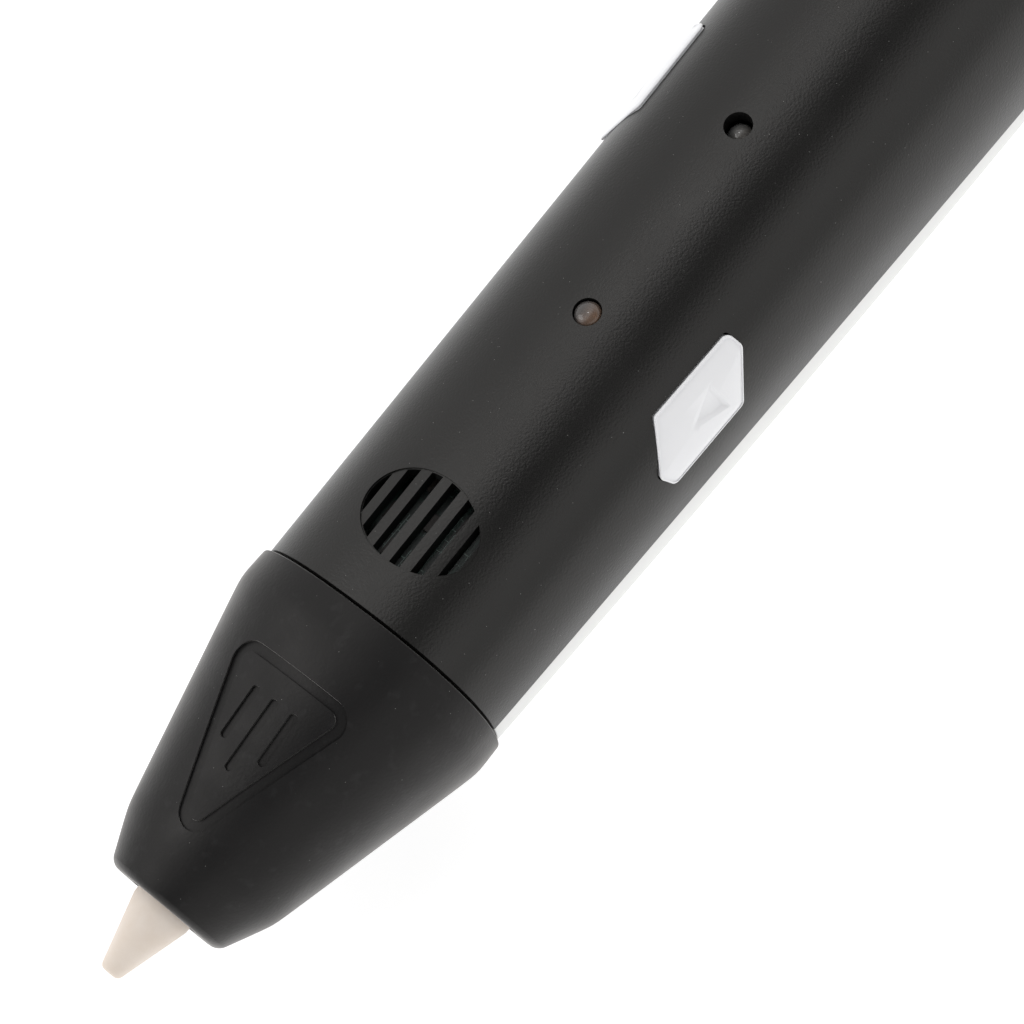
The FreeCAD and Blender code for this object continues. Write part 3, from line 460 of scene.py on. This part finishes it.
def plastic(name, color, roughness, grain_mm=0.6, depth_mm=0.01, shade=0.9, **sockets):
    """Moulded plastic: a faint unevenness of colour and gloss over a fine grain."""
    paint = Paint(name, color, roughness, **sockets)
    uneven = paint.noise(grain_mm * 12)
    darker = tuple(c * shade for c in color)
    paint.color(paint.blend(uneven, darker, color))
    paint.rough(paint.spread(uneven, 0.3, 0.7, roughness - 0.04, roughness + 0.04))
    paint.bump(paint.noise(grain_mm, 2.0), depth_mm, 0.5)
    return paint.material


def metal(name, color, roughness, stretch=(1, 12, 12)):
    """Turned or drawn metal with fine streaks."""
    paint = Paint(name, color, roughness, Metallic=1.0)
    streaks = paint.noise(1.5, 4.0, stretch)
    paint.color(paint.blend(streaks, tuple(c * 0.8 for c in color), color))
    paint.rough(paint.spread(streaks, 0.3, 0.7, roughness - 0.06, roughness + 0.08))
    paint.bump(streaks, 0.004, 0.5)
    return paint.material


def ceramic(name, color):
    """Fired ceramic with clouds of stain."""
    paint = Paint(name, color, 0.62)
    clouds = paint.noise(3.0, 4.0)
    stained = tuple(c * s for c, s in zip(color, (0.93, 0.90, 0.86)))
    paint.color(paint.blend(paint.spread(clouds, 0.35, 0.75, 0.0, 1.0), color, stained))
    paint.bump(paint.noise(0.25, 4.0), 0.02, 0.6)
    return paint.material


def board_paint_painted_shade():
    """Solder mask with copper tracks showing faintly under it and patches of printed outlines on it; the
    mask's greens are painted dark to stand for the shade inside the casing.
    """
    # Painted shade: these greens are darker than the mask's own colour, for the shade inside the casing.
    paint = Paint("board_green", (0.003, 0.02, 0.013), 0.32)
    tracks = paint.node("ShaderNodeTexBrick")
    tracks.inputs["Scale"].default_value = 1 / (6 * MM)
    tracks.inputs["Mortar Size"].default_value = 0.03
    paint.link(paint.coordinates, tracks.inputs["Vector"])
    green = paint.blend(tracks.outputs["Fac"], (0.001, 0.010, 0.007), (0.003, 0.026, 0.018))
    outlines = paint.node("ShaderNodeTexBrick")
    outlines.inputs["Scale"].default_value = 1 / (2.7 * MM)
    outlines.inputs["Mortar Size"].default_value = 0.02
    outlines.inputs["Mortar Smooth"].default_value = 0.0
    paint.link(paint.coordinates, outlines.inputs["Vector"])
    patches = paint.spread(paint.noise(4.0, 1.0), 0.54, 0.57, 0.0, 1.0)
    printed = paint.product(outlines.outputs["Fac"], patches)
    paint.color(paint.blend(printed, green, (0.13, 0.19, 0.17)))
    paint.bump(tracks.outputs["Fac"], 0.03, 0.4)
    return paint.material


def lens(name, color, painted_reflection_color):
    """Smoked lamp lens, clear enough for its cup to show through, with a painted reflection in another tone
    towards its -Y side.
    """
    paint = Paint(name, color, 0.10, IOR=1.5)
    parts = paint.node("ShaderNodeSeparateXYZ")
    paint.link(paint.coordinates, parts.inputs["Vector"])
    # Painted reflection: towards -Y the lens colour blends into the second colour, standing in for light
    # caught in the lens.
    lens_tone_with_reflection = paint.blend(paint.spread(parts.outputs["Y"], -1.2 * MM, 0.8 * MM, 1.0, 0.0), color, painted_reflection_color)
    core = paint.spread(paint.noise(0.9, 2.0), 0.35, 0.7, 0.0, 0.5)
    paint.color(paint.blend(core, lens_tone_with_reflection, tuple(c * 0.6 for c in color)))
    paint.shader.inputs["Transmission Weight"].default_value = 0.35
    paint.bump(paint.noise(0.6), 0.01, 0.3)
    return paint.material


MATERIALS = {
    "shell_black": black_shell(),
    "shell_white": plastic("white_shell", (0.80, 0.80, 0.785), 0.34),
    "cone_rubber": cone_rubber(),
    "nozzle_ceramic": ceramic("nozzle_ceramic", (0.88, 0.785, 0.70)),
    "brass": metal("brass_turned", (0.74, 0.55, 0.26), 0.30),
    "heater_ceramic": ceramic("heater_ceramic", (0.82, 0.80, 0.74)),
    "fibre_sleeve": plastic("glass_sleeve", (0.76, 0.74, 0.66), 0.8, 0.3, 0.12),
    "bead": plastic("bead", (0.42, 0.24, 0.10), 0.25),
    "steel": metal("steel_turned", (0.60, 0.60, 0.62), 0.28),
    "screw_steel": metal("screw_steel", (0.46, 0.46, 0.48), 0.34),
    "frame_plastic": plastic("frame_plastic", (0.035, 0.035, 0.040), 0.5, depth_mm=0.02),
    "ptfe": plastic("ptfe", (0.84, 0.84, 0.82), 0.45, Subsurface_Weight=0.2),
    "gear_plastic": plastic("acetal", (0.80, 0.78, 0.70), 0.42),
    "bronze": metal("sintered_bronze", (0.50, 0.32, 0.16), 0.5, (1, 1, 1)),
    "motor_metal": metal("nickel_plate", (0.66, 0.66, 0.67), 0.26),
    "cap_plastic": plastic("white_nylon", (0.80, 0.80, 0.77), 0.5),
    "board_green": board_paint_painted_shade(),
    "chip_black": plastic("chip_epoxy", (0.02, 0.02, 0.02), 0.5, 0.3, 0.01),
    # Painted shade: the chip bodies are far darker than their own tan, standing for the shade inside the
    # casing.
    "part_ceramic": plastic("chip_body_painted_shade", (0.022, 0.014, 0.010), 0.45, 0.3),
    "capacitor_sleeve": plastic("capacitor_sleeve", (0.03, 0.04, 0.09), 0.3),
    "lamp_power": lens("lamp_power", (0.15, 0.14, 0.135), (0.24, 0.145, 0.095)),
    "lamp_ready": lens("lamp_ready", (0.20, 0.20, 0.195), (0.24, 0.22, 0.20)),
    "button_white": plastic("button_white", (0.93, 0.93, 0.945), 0.36, 0.5, 0.006, 0.97),
    "switch_black": plastic("switch_black", (0.03, 0.03, 0.03), 0.45),
    "switch_plunger": plastic("switch_plunger", (0.10, 0.10, 0.10), 0.4),
    "fan_black": plastic("fan_black", (0.03, 0.03, 0.032), 0.4),
    "contact": metal("tinned_contact", (0.75, 0.70, 0.52), 0.25),
    "lead_red": plastic("red_lead", (0.40, 0.03, 0.02), 0.4),
    "lead_white": plastic("fibre_lead", (0.74, 0.72, 0.64), 0.7, 0.2, 0.05),
}


def dress_nodes():
    """Gives each CAD node the procedural material of its slot."""
    slots = {part["node"]: part["material_slot"] for part in frame["record"]["subparts"]}
    for name, node in NODES.items():
        node.data.materials.clear()
        node.data.materials.append(MATERIALS[slots[name]])


# ---- casing -------------------------------------------------------------------------------------------
BOARD_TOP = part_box("main_board")[1].z / MM - ORIGIN.z
KNOB_X = (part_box("speed_knob")[0].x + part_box("speed_knob")[1].x) / 2 / MM - ORIGIN.x


def button_axes(x, side):
    """Foot of a button's axis on the casing, and its directions along the pen, up the side and outwards."""
    width, top, _ = casing_size(x)
    c, s = math.cos(BUTTON_TILT), math.sin(BUTTON_TILT)
    foot = Vector((x, side * width * c ** (2 / TOP_POWER), top * s ** (2 / TOP_POWER)))
    return foot, Vector((1, 0, 0)), Vector((0, -side * s, c)), Vector((0, side * c, s))


def on_button(x, side, u, v, w):
    """A point u along the pen, v up the side and w outwards from the foot of a button's axis."""
    foot, along, up, out = button_axes(x, side)
    return (foot + along * u + up * v + out * w)[:]


def button_outline(growth, corner):
    return rounded_outline(grown(BUTTON_CORNERS, growth), corner)


def skin_height(x, side, u, v):
    """How far out along a button's axis the casing's surface is."""
    low, high = -9.0, 3.0
    for _ in range(40):
        middle = (low + high) / 2
        _, y, z = on_button(x, side, u, v, middle)
        width, top, _ = casing_size(x + u)
        inside = abs(y / width) ** TOP_POWER + abs(z / top) ** TOP_POWER < 1
        low, high = (middle, high) if inside else (low, middle)
    return low


def button_column(name, x, side, outline, low, high):
    return ring_solid(name, [[on_button(x, side, u, v, w) for u, v in outline] for w in (low, high)])


def vent_cutters(top=True):
    """A shallow oval step, and the slots in it."""
    low, high = (4, 30) if top else (-30, -4)
    front, rear = VENT_X - VENT_REACH, VENT_X + VENT_REACH

    def oval(name, share):
        turns = [TAU * k / 96 for k in range(96)]
        ring = [(VENT_X + VENT_ALONG * share * math.cos(t), VENT_ACROSS * share * math.sin(t)) for t in turns]
        return ring_solid(name, [[(x, y, z) for x, y in ring] for z in (low, high)])

    step = carve(oval("step", 1.0), [ring_solid("floor", casing_rings(VENT_STEP, front, rear))])
    slots = []
    for i in range(SLOTS):
        y = (i - (SLOTS - 1) / 2) * SLOT_PITCH + SLOT_SHIFT
        bar = block("bar", front, rear, y - SLOT_HALF, y + SLOT_HALF, low - 1, high + 1)
        slots.append(carve(oval("slot", 0.975), [bar], "INTERSECT"))
    return [step] + slots


def upright(name, x, y, radius, z0, z1):
    """A cylinder across the pen."""
    return ring_solid(name, [[(u, v, z) for u, v in circle(x, y, radius)] for z in (z0, z1)])


def level(name, y, z, radius, x0, x1):
    """A cylinder along the pen."""
    return ring_solid(name, [[(x, u, v) for u, v in circle(y, z, radius)] for x in (x0, x1)])


def hollow_casing(name):
    """The whole casing with its neck, before it is parted."""
    outer = [section(x, casing_size(0), NECK_INSET) for x in (-5.5, SEAM)]
    edge = 0.18
    outer += [section(SEAM + back, casing_size(0), extra) for back, extra in reversed(rounding(edge, 4))]
    outer += casing_rings(0.0, SEAM + edge, TAIL_X, TAIL_ROUND)[1:]
    inner = [section(x, casing_size(0), NECK_BORE_INSET) for x in (-7, 3)]
    inner += casing_rings(WALL, 3.0, TAIL_X - TAIL_WALL, TAIL_ROUND - WALL)
    return carve(ring_solid(name, outer), [ring_solid("inside", inner)])


def parting_block(name, gap, above):
    """Everything above or below the sloping plane where the casing's halves meet."""
    front, rear, far = -60, 200, 60 if above else -60
    plane = [(x, PARTING_Z + PARTING_SLOPE * x + gap) for x in (front, rear)]
    side = plane + [(rear, far), (front, far)]
    return ring_solid(name, [[(x, y, z) for x, z in side] for y in (-40, 40)])


def casing_top():
    top = carve(hollow_casing("casing_top"), [parting_block("half", PARTING_GAP, False)])
    cutters = vent_cutters()
    for node in ("power_led", "ready_led"):
        low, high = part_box(node)
        cutters.append(upright("lamp_hole", (low.x + high.x) / 2 / MM - ORIGIN.x, 0, LAMP_HOLE_R, 8, 30))
    opening = button_outline(OPENING_GAP, OPENING_CORNER_R)
    for x, side in ((LOAD_X, -1), (UNLOAD_X, 1)):
        cutters.append(button_column("opening", x, side, opening, -3.5, 6))
    cutters.append(block("knob_slot", KNOB_X - 4.9, KNOB_X + 4.9, -1.1, 1.1, 11, 30))
    cutters.append(level("bush_hole", 0, 0, BUSH_HOLE_R, TAIL_X - 6, TAIL_X + 4))
    carve(top, cutters)
    smooth(top)
    follow_form(top, casing_size, lambda x: (TOP_POWER, LOW_POWER))
    finish_piece(top, "casing", "shell_black", "upper_shell")


def casing_belly():
    belly = carve(hollow_casing("casing_belly"), [parting_block("half", 0.0, True)])
    cutters = [block("table", -60, 200, -40, 40, -60, BELLY_Z)]
    for x, y in SCREWS:
        cutters.append(upright("screw_hole", x, y, SCREW_HOLE_R, -40, -12))
    cutters.append(level("socket_hole", 0, SOCKET_Z, SOCKET_HOLE_R, TAIL_X - 6, TAIL_X + 4))
    cutters += vent_cutters(top=False)
    carve(belly, cutters)
    smooth(belly)
    follow_form(belly, casing_size, lambda x: (TOP_POWER, LOW_POWER))
    finish_piece(belly, "casing", "shell_white", "lower_shell")


# ---- nose ---------------------------------------------------------------------------------------------
def grip_mark_cutters():
    """Rounded triangle band and three strokes, cut a little into the cone's top."""
    triangle = [(-8.4, -9.0), (-8.4, 9.0), (-33.6, 0)]
    wide, narrow = (rounded_outline(grown(triangle, -inset), corner, 10)
                    for inset, corner in ((0.4, 2.2), (1.6, 1.0)))
    band = ring_solid("band", [[(x, y, z) for x, y in wide] for z in (2, 30)])
    carve(band, [ring_solid("core", [[(x, y, z) for x, y in narrow] for z in (1, 31)])])
    cuts = [band]
    for y in (-STROKE_PITCH, 0, STROKE_PITCH):
        tip, base, low, high = -21.0 + abs(y) * 0.9, -12.5, y - STROKE_HALF, y + STROKE_HALF
        stroke = rounded_outline([(tip, low), (base, low), (base, high), (tip, high)], 0.4, 4)
        cuts.append(ring_solid("stroke", [[(x, v, z) for x, v in stroke] for z in (2, 30)]))
    for cut in cuts:
        carve(cut, [ring_solid("floor", [cone_section(x, MARK_DEPTH) for x in steps_between(-36, -1, 0.7)])])
    return cuts


def grip_cone():
    lip = [(CONE_RIM_X + back, extra) for back, extra in reversed(rounding(0.9, 6))]
    edge = 0.22
    outer = lip + [(x, 0.0) for x in steps_between(CONE_RIM_X + 0.9, -SEAM - edge, 0.6)[1:-1]]
    outer += [(-SEAM - back, extra) for back, extra in rounding(edge, 4)]
    rings = [cone_section(x, depth) for x, depth in outer]
    rings += [section(x, casing_size(0), NECK_INSET - 0.1) for x in (-SEAM, -6.7)]
    rings += [cone_section(x, CONE_WALL) for x in reversed(steps_between(CONE_RIM_X + CONE_WALL, -6.9, 1.5))]
    for x in (CONE_RIM_X + CONE_WALL, CONE_RIM_X):
        rings.append([(x, u, v) for u, v in circle(0, 0, CONE_BORE_R, RING)])
    cone = ring_solid("grip_cone", rings, closed_loop=True)
    carve(cone, grip_mark_cutters())
    smooth(cone, 38)
    follow_form(cone, cone_size, cone_powers)
    finish_piece(cone, "casing", "cone_rubber", "nose_cone")


def nozzle_tip():
    profile = [(TIP_X + 0.35, 0.40), (TIP_X + 0.06, 0.46), (TIP_X, 0.60)]
    profile += [(TIP_X + 0.8 - 0.8 * math.cos(t), 0.62 + 0.72 * math.sin(t)) for t in (0.35, 0.7, 1.05, 1.3)]
    profile += [(x, 1.36 + (x + 43.25) * 0.285) for x in steps_between(-43.0, -36.4, 0.8)]
    profile += [(-35.9, 3.44), (-35.2, 3.45), (-30.0, 3.45), (-30.0, 2.0), (-41.0, 2.0), (-41.0, 0.45)]
    tip = ring_solid("nozzle_tip", lathe(profile), closed_loop=True)
    smooth(tip)
    finish_piece(tip, "casing", "nozzle_ceramic", "ceramic_nozzle")


# ---- buttons, lamps, slider and spring ----------------------------------------------------------------
def arrow_depth(u, v):
    """The arrow's floor is deepest at its base and at its lower edge."""
    return 0.12 + 0.04 * (u + 2) + 0.04 * (2.25 - v)


def key(name, x, side, node, body):
    """Button cap with a crowned top and a sunk arrow, and its flange below."""
    def on_top(u, v, back=0.0):
        return on_button(x, side, u, v, skin_height(x, side, u, v) + BUTTON_PROUD - back)

    rings = [[on_button(x, side, u, v, BUTTON_FOOT) for u, v in button_outline(0.0, BUTTON_CORNER_R)]]
    for back, inset in reversed(rounding(BUTTON_EDGE, 5)):
        rings.append([on_top(u, v, back) for u, v in button_outline(-inset, BUTTON_CORNER_R - inset)])
    top = button_outline(-BUTTON_EDGE, BUTTON_CORNER_R - BUTTON_EDGE)
    for share in (0.85, 0.7, 0.55, 0.4, 0.25, 0.1):
        rings.append([on_top(u * share, v * share) for u, v in top])
    cap = ring_solid(name, rings)
    flip = 1 if side < 0 else -1
    low, high = (rounded_outline(grown(ARROW_CORNERS, growth), radius, 4)
                 for growth, radius in ((-0.35, 0.1), (0.12, 0.3)))
    arrow = [[on_top(flip * u, v, sunk * arrow_depth(u, v)) for u, v in outline]
             for outline, sunk in ((low, 1), (high, -0.1))]
    arrow.append([on_button(x, side, flip * u, v, 3.0) for u, v in high])
    carve(cap, [ring_solid("arrow", arrow)])
    smooth(cap, 38)
    skirt = button_outline(FLANGE_GROWTH, OPENING_CORNER_R)
    join([cap, button_column("flange", x, side, skirt, FLANGE_FOOT, BUTTON_FOOT)])
    finish_piece(cap, body, "button_white", node)


def join(pieces):
    """Adds the later pieces' meshes to the first."""
    bm = bmesh.new()
    for piece in pieces:
        bm.from_mesh(piece.data)
    bm.to_mesh(pieces[0].data)
    bm.free()
    for piece in pieces[1:]:
        discard(piece)


def lamp(name, node, slot, dome, rise=0.0):
    """Lens whose rounded end is dome high and stands a rise above its CAD node, on its flange and legs."""
    low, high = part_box(node)
    x, top = (low.x + high.x) / 2 / MM - ORIGIN.x, high.z / MM - ORIGIN.z + rise
    foot, shelf, on_axis = top - LAMP_FOOT, top - LAMP_FLANGE_TOP, 0.02
    profile = [(foot, on_axis), (foot, LAMP_FLANGE_R), (shelf, LAMP_FLANGE_R), (shelf, LAMP_R)]
    profile += [(top - dome * (1 - math.sin(t)), LAMP_R * math.cos(t))
                for t in [math.pi / 2 * i / 12 for i in range(12)]] + [(top, on_axis)]
    body = ring_solid(name, lathe(profile, "Z", (x, 0, 0), 48))
    legs = [block("leg", x + d - LEG_HALF, x + d + LEG_HALF, -LEG_HALF, LEG_HALF, BOARD_TOP, foot + 0.1)
            for d in (-LEG_OUT, LEG_OUT)]
    join([body] + legs)
    smooth(body)
    finish_piece(body, "casing", slot, node)


def thumb():
    """Ridged slider knob."""
    low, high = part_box("speed_knob")
    x0, x1 = low.x / MM - ORIGIN.x, high.x / MM - ORIGIN.x
    top = high.z / MM - ORIGIN.z
    half = high.y / MM
    outline = rounded_outline([(x0, -half), (x1, -half), (x1, half), (x0, half)], 0.9, 6)
    knob = ring_solid("speed_thumb", [[(x, y, z) for x, y in outline] for z in (15, top)])
    cuts = [ring_solid("under", casing_rings(-0.3, KNOB_X - 12, KNOB_X + 12))]
    for d in (-3, -1.5, 0, 1.5, 3):
        cuts.append(block("groove", KNOB_X + d - 0.3, KNOB_X + d + 0.3, -5, 5, top - 0.45, top + 2))
    carve(knob, cuts)
    smooth(knob)
    finish_piece(knob, "speed_key", "button_white", "speed_knob")


def idler_coil():
    """Compression spring between the idler arm and its seat."""
    low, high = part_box("idler_spring")
    x, foot, seat = (low.x + high.x) / 2 / MM - ORIGIN.x, low.z / MM - ORIGIN.z, high.z / MM - ORIGIN.z
    coil, wire, turns, steps = 1.6, 0.22, 4.5, 24
    rings = []
    for i in range(round(turns * steps) + 1):
        turn = TAU * i / steps
        out = Vector((math.cos(turn), math.sin(turn), 0))
        centre = Vector((x, 0, foot + wire + (seat - foot - 2 * wire) * i / (turns * steps))) + out * coil
        rings.append([(centre + (out * math.cos(a) + Vector((0, 0, math.sin(a)))) * wire)[:]
                      for a in (TAU * k / 10 for k in range(10))])
    spring = ring_solid("idler_coil", rings)
    spring.data.shade_smooth()
    finish_piece(spring, "casing", "steel", "idler_spring")
    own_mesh(spring)


# ---- build --------------------------------------------------------------------------------------------
dress_nodes()
casing_top()
casing_belly()
grip_cone()
nozzle_tip()
key("load_cap", LOAD_X, -1, "load_button", "load_key")
key("unload_cap", UNLOAD_X, 1, "unload_button", "unload_key")
lamp("front_lamp", "power_led", "lamp_power", 0.7, 0.3)
lamp("rear_lamp", "ready_led", "lamp_ready", 1.3)
thumb()
idler_coil()


# ---- studio -------------------------------------------------------------------------------------------
def studio_floor():
    mesh = bpy.data.meshes.new("floor")
    half = 4.0
    corners = [(-half, -half, 0), (half, -half, 0), (half, half, 0), (-half, half, 0)]
    mesh.from_pydata(corners, [], [(0, 1, 2, 3)])
    floor = bpy.data.objects.new("studio_floor", mesh)
    floor.location.z = -0.0002
    bpy.context.scene.collection.objects.link(floor)
    paint = Paint("floor_paper", (0.5, 0.5, 0.5), 0.9)
    paint.shader.inputs["Emission Color"].default_value = (1, 1, 1, 1)
    paint.shader.inputs["Emission Strength"].default_value = 0.80
    paint.color(paint.blend(paint.noise(6.0), (0.49, 0.49, 0.49), (0.51, 0.51, 0.51)))
    floor.data.materials.append(paint.material)


# (place across the pen, brightness) of the tent: -1 is towards the +Y flank, 0 the camera and 1 the -Y flank.
# The two ends come first, because the ramp starts with them.
TENT_LEVELS = [(-1.0, 0.95), (1.0, 0.75), (-0.92, 0.80), (-0.81, 0.86), (-0.70, 1.0), (-0.60, 1.35),
               (-0.50, 1.30), (-0.38, 0.36), (-0.28, 0.10), (-0.08, 0.03), (0.05, 0.22), (0.20, 0.70),
               (0.42, 1.0), (0.60, 0.90), (0.76, 0.65), (0.88, 0.50)]

CAMERA_SWING, CAMERA_TILT, CAMERA_ROLL = (math.radians(a) for a in (10.59, 22.37, 50.26))


def camera_axes():
    """The camera's right, up and backward directions, and the one across the pen in its view.

    It looks down on the pen from over the -Y flank.
    """
    cs, ss = math.cos(CAMERA_SWING), math.sin(CAMERA_SWING)
    ct, st = math.cos(CAMERA_TILT), math.sin(CAMERA_TILT)
    along = Vector((cs, -st * ss, ct * ss))
    down = Vector((0, -ct, -st))
    back = Vector((-ss, -st * cs, ct * cs))
    right = along * math.cos(CAMERA_ROLL) + down * math.sin(CAMERA_ROLL)
    up = along * math.sin(CAMERA_ROLL) - down * math.cos(CAMERA_ROLL)
    return right, up, back, down


def set_camera():
    right, up, back, down = camera_axes()
    distance, aside, along_pen = 327.7, 1.54, 19.9
    data = bpy.data.cameras.new("camera")
    data.sensor_width, data.lens = 36, 108.3
    data.clip_start, data.clip_end = 0.01, 20
    camera = bpy.data.objects.new("camera", data)
    spot = TO_FRAME @ Vector((along_pen, 0, 0)) + (back * distance + down * aside) * MM
    camera.matrix_world = Matrix.Translation(spot) @ Matrix((right, up, back)).transposed().to_4x4()
    bpy.context.scene.collection.objects.link(camera)
    bpy.context.scene.camera = camera


def light_tent():
    """A tent that is white off both ends of the pen and follows TENT_LEVELS across it.

    Overhead, where the camera stands, a dark gap runs along the pen between two bright strips.
    """
    world = bpy.data.worlds.new("tent")
    world.use_nodes = True
    nodes, links = world.node_tree.nodes, world.node_tree.links
    direction = nodes.new("ShaderNodeTexCoord").outputs["Generated"]
    right, up, _, down = camera_axes()
    along = up * math.sin(CAMERA_ROLL) + right * math.cos(CAMERA_ROLL)

    def part_of(axis):
        made = nodes.new("ShaderNodeVectorMath")
        made.operation = "DOT_PRODUCT"
        links.new(direction, made.inputs[0])
        made.inputs[1].default_value = axis
        return made.outputs["Value"]

    ramp = nodes.new("ShaderNodeValToRGB")
    ramp.color_ramp.interpolation = "EASE"
    for i, (across, level) in enumerate(TENT_LEVELS):
        stop = ramp.color_ramp.elements[i] if i < 2 else ramp.color_ramp.elements.new(1.0)
        stop.position = (across + 1) / 2
        stop.color = (level, level, level, 1)
    shift = nodes.new("ShaderNodeMapRange")
    set_range(shift, -1, 1, 0, 1)
    links.new(part_of(down), shift.inputs["Value"])
    links.new(shift.outputs["Result"], ramp.inputs["Fac"])
    sideways = nodes.new("ShaderNodeMath")
    sideways.operation = "ABSOLUTE"
    links.new(part_of(along), sideways.inputs[0])
    ends = nodes.new("ShaderNodeMapRange")
    ends.interpolation_type = "SMOOTHSTEP"
    set_range(ends, 0.6, 0.9, 0, 1)
    links.new(sideways.outputs[0], ends.inputs["Value"])
    mix = nodes.new("ShaderNodeMix")
    mix.data_type = "RGBA"
    links.new(ends.outputs["Result"], mix.inputs[0])
    links.new(ramp.outputs["Color"], mix.inputs[6])
    mix.inputs[7].default_value = (1, 1, 1, 1)
    links.new(mix.outputs[2], nodes["Background"].inputs["Color"])
    bpy.context.scene.world = world


def area_light(name, position, size, power):
    """A rectangular light that points at the middle of the pen."""
    data = bpy.data.lights.new(name, "AREA")
    data.shape, data.size, data.size_y, data.energy = "RECTANGLE", size[0], size[1], power
    light = bpy.data.objects.new(name, data)
    light.location = position
    aim = Vector((0, 0, 0.02)) - Vector(position)
    light.rotation_mode = "QUATERNION"
    light.rotation_quaternion = aim.to_track_quat("-Z", "Y")
    bpy.context.scene.collection.objects.link(light)


studio_floor()
set_camera()
light_tent()
area_light("soft_key", (-0.25, 0.35, 0.55), (0.3, 0.3), 0.6)
area_light("glint", (0.13, 0.17, 0.595), (0.03, 0.03), 0.06)
bpy.context.scene.view_settings.view_transform = "Standard"
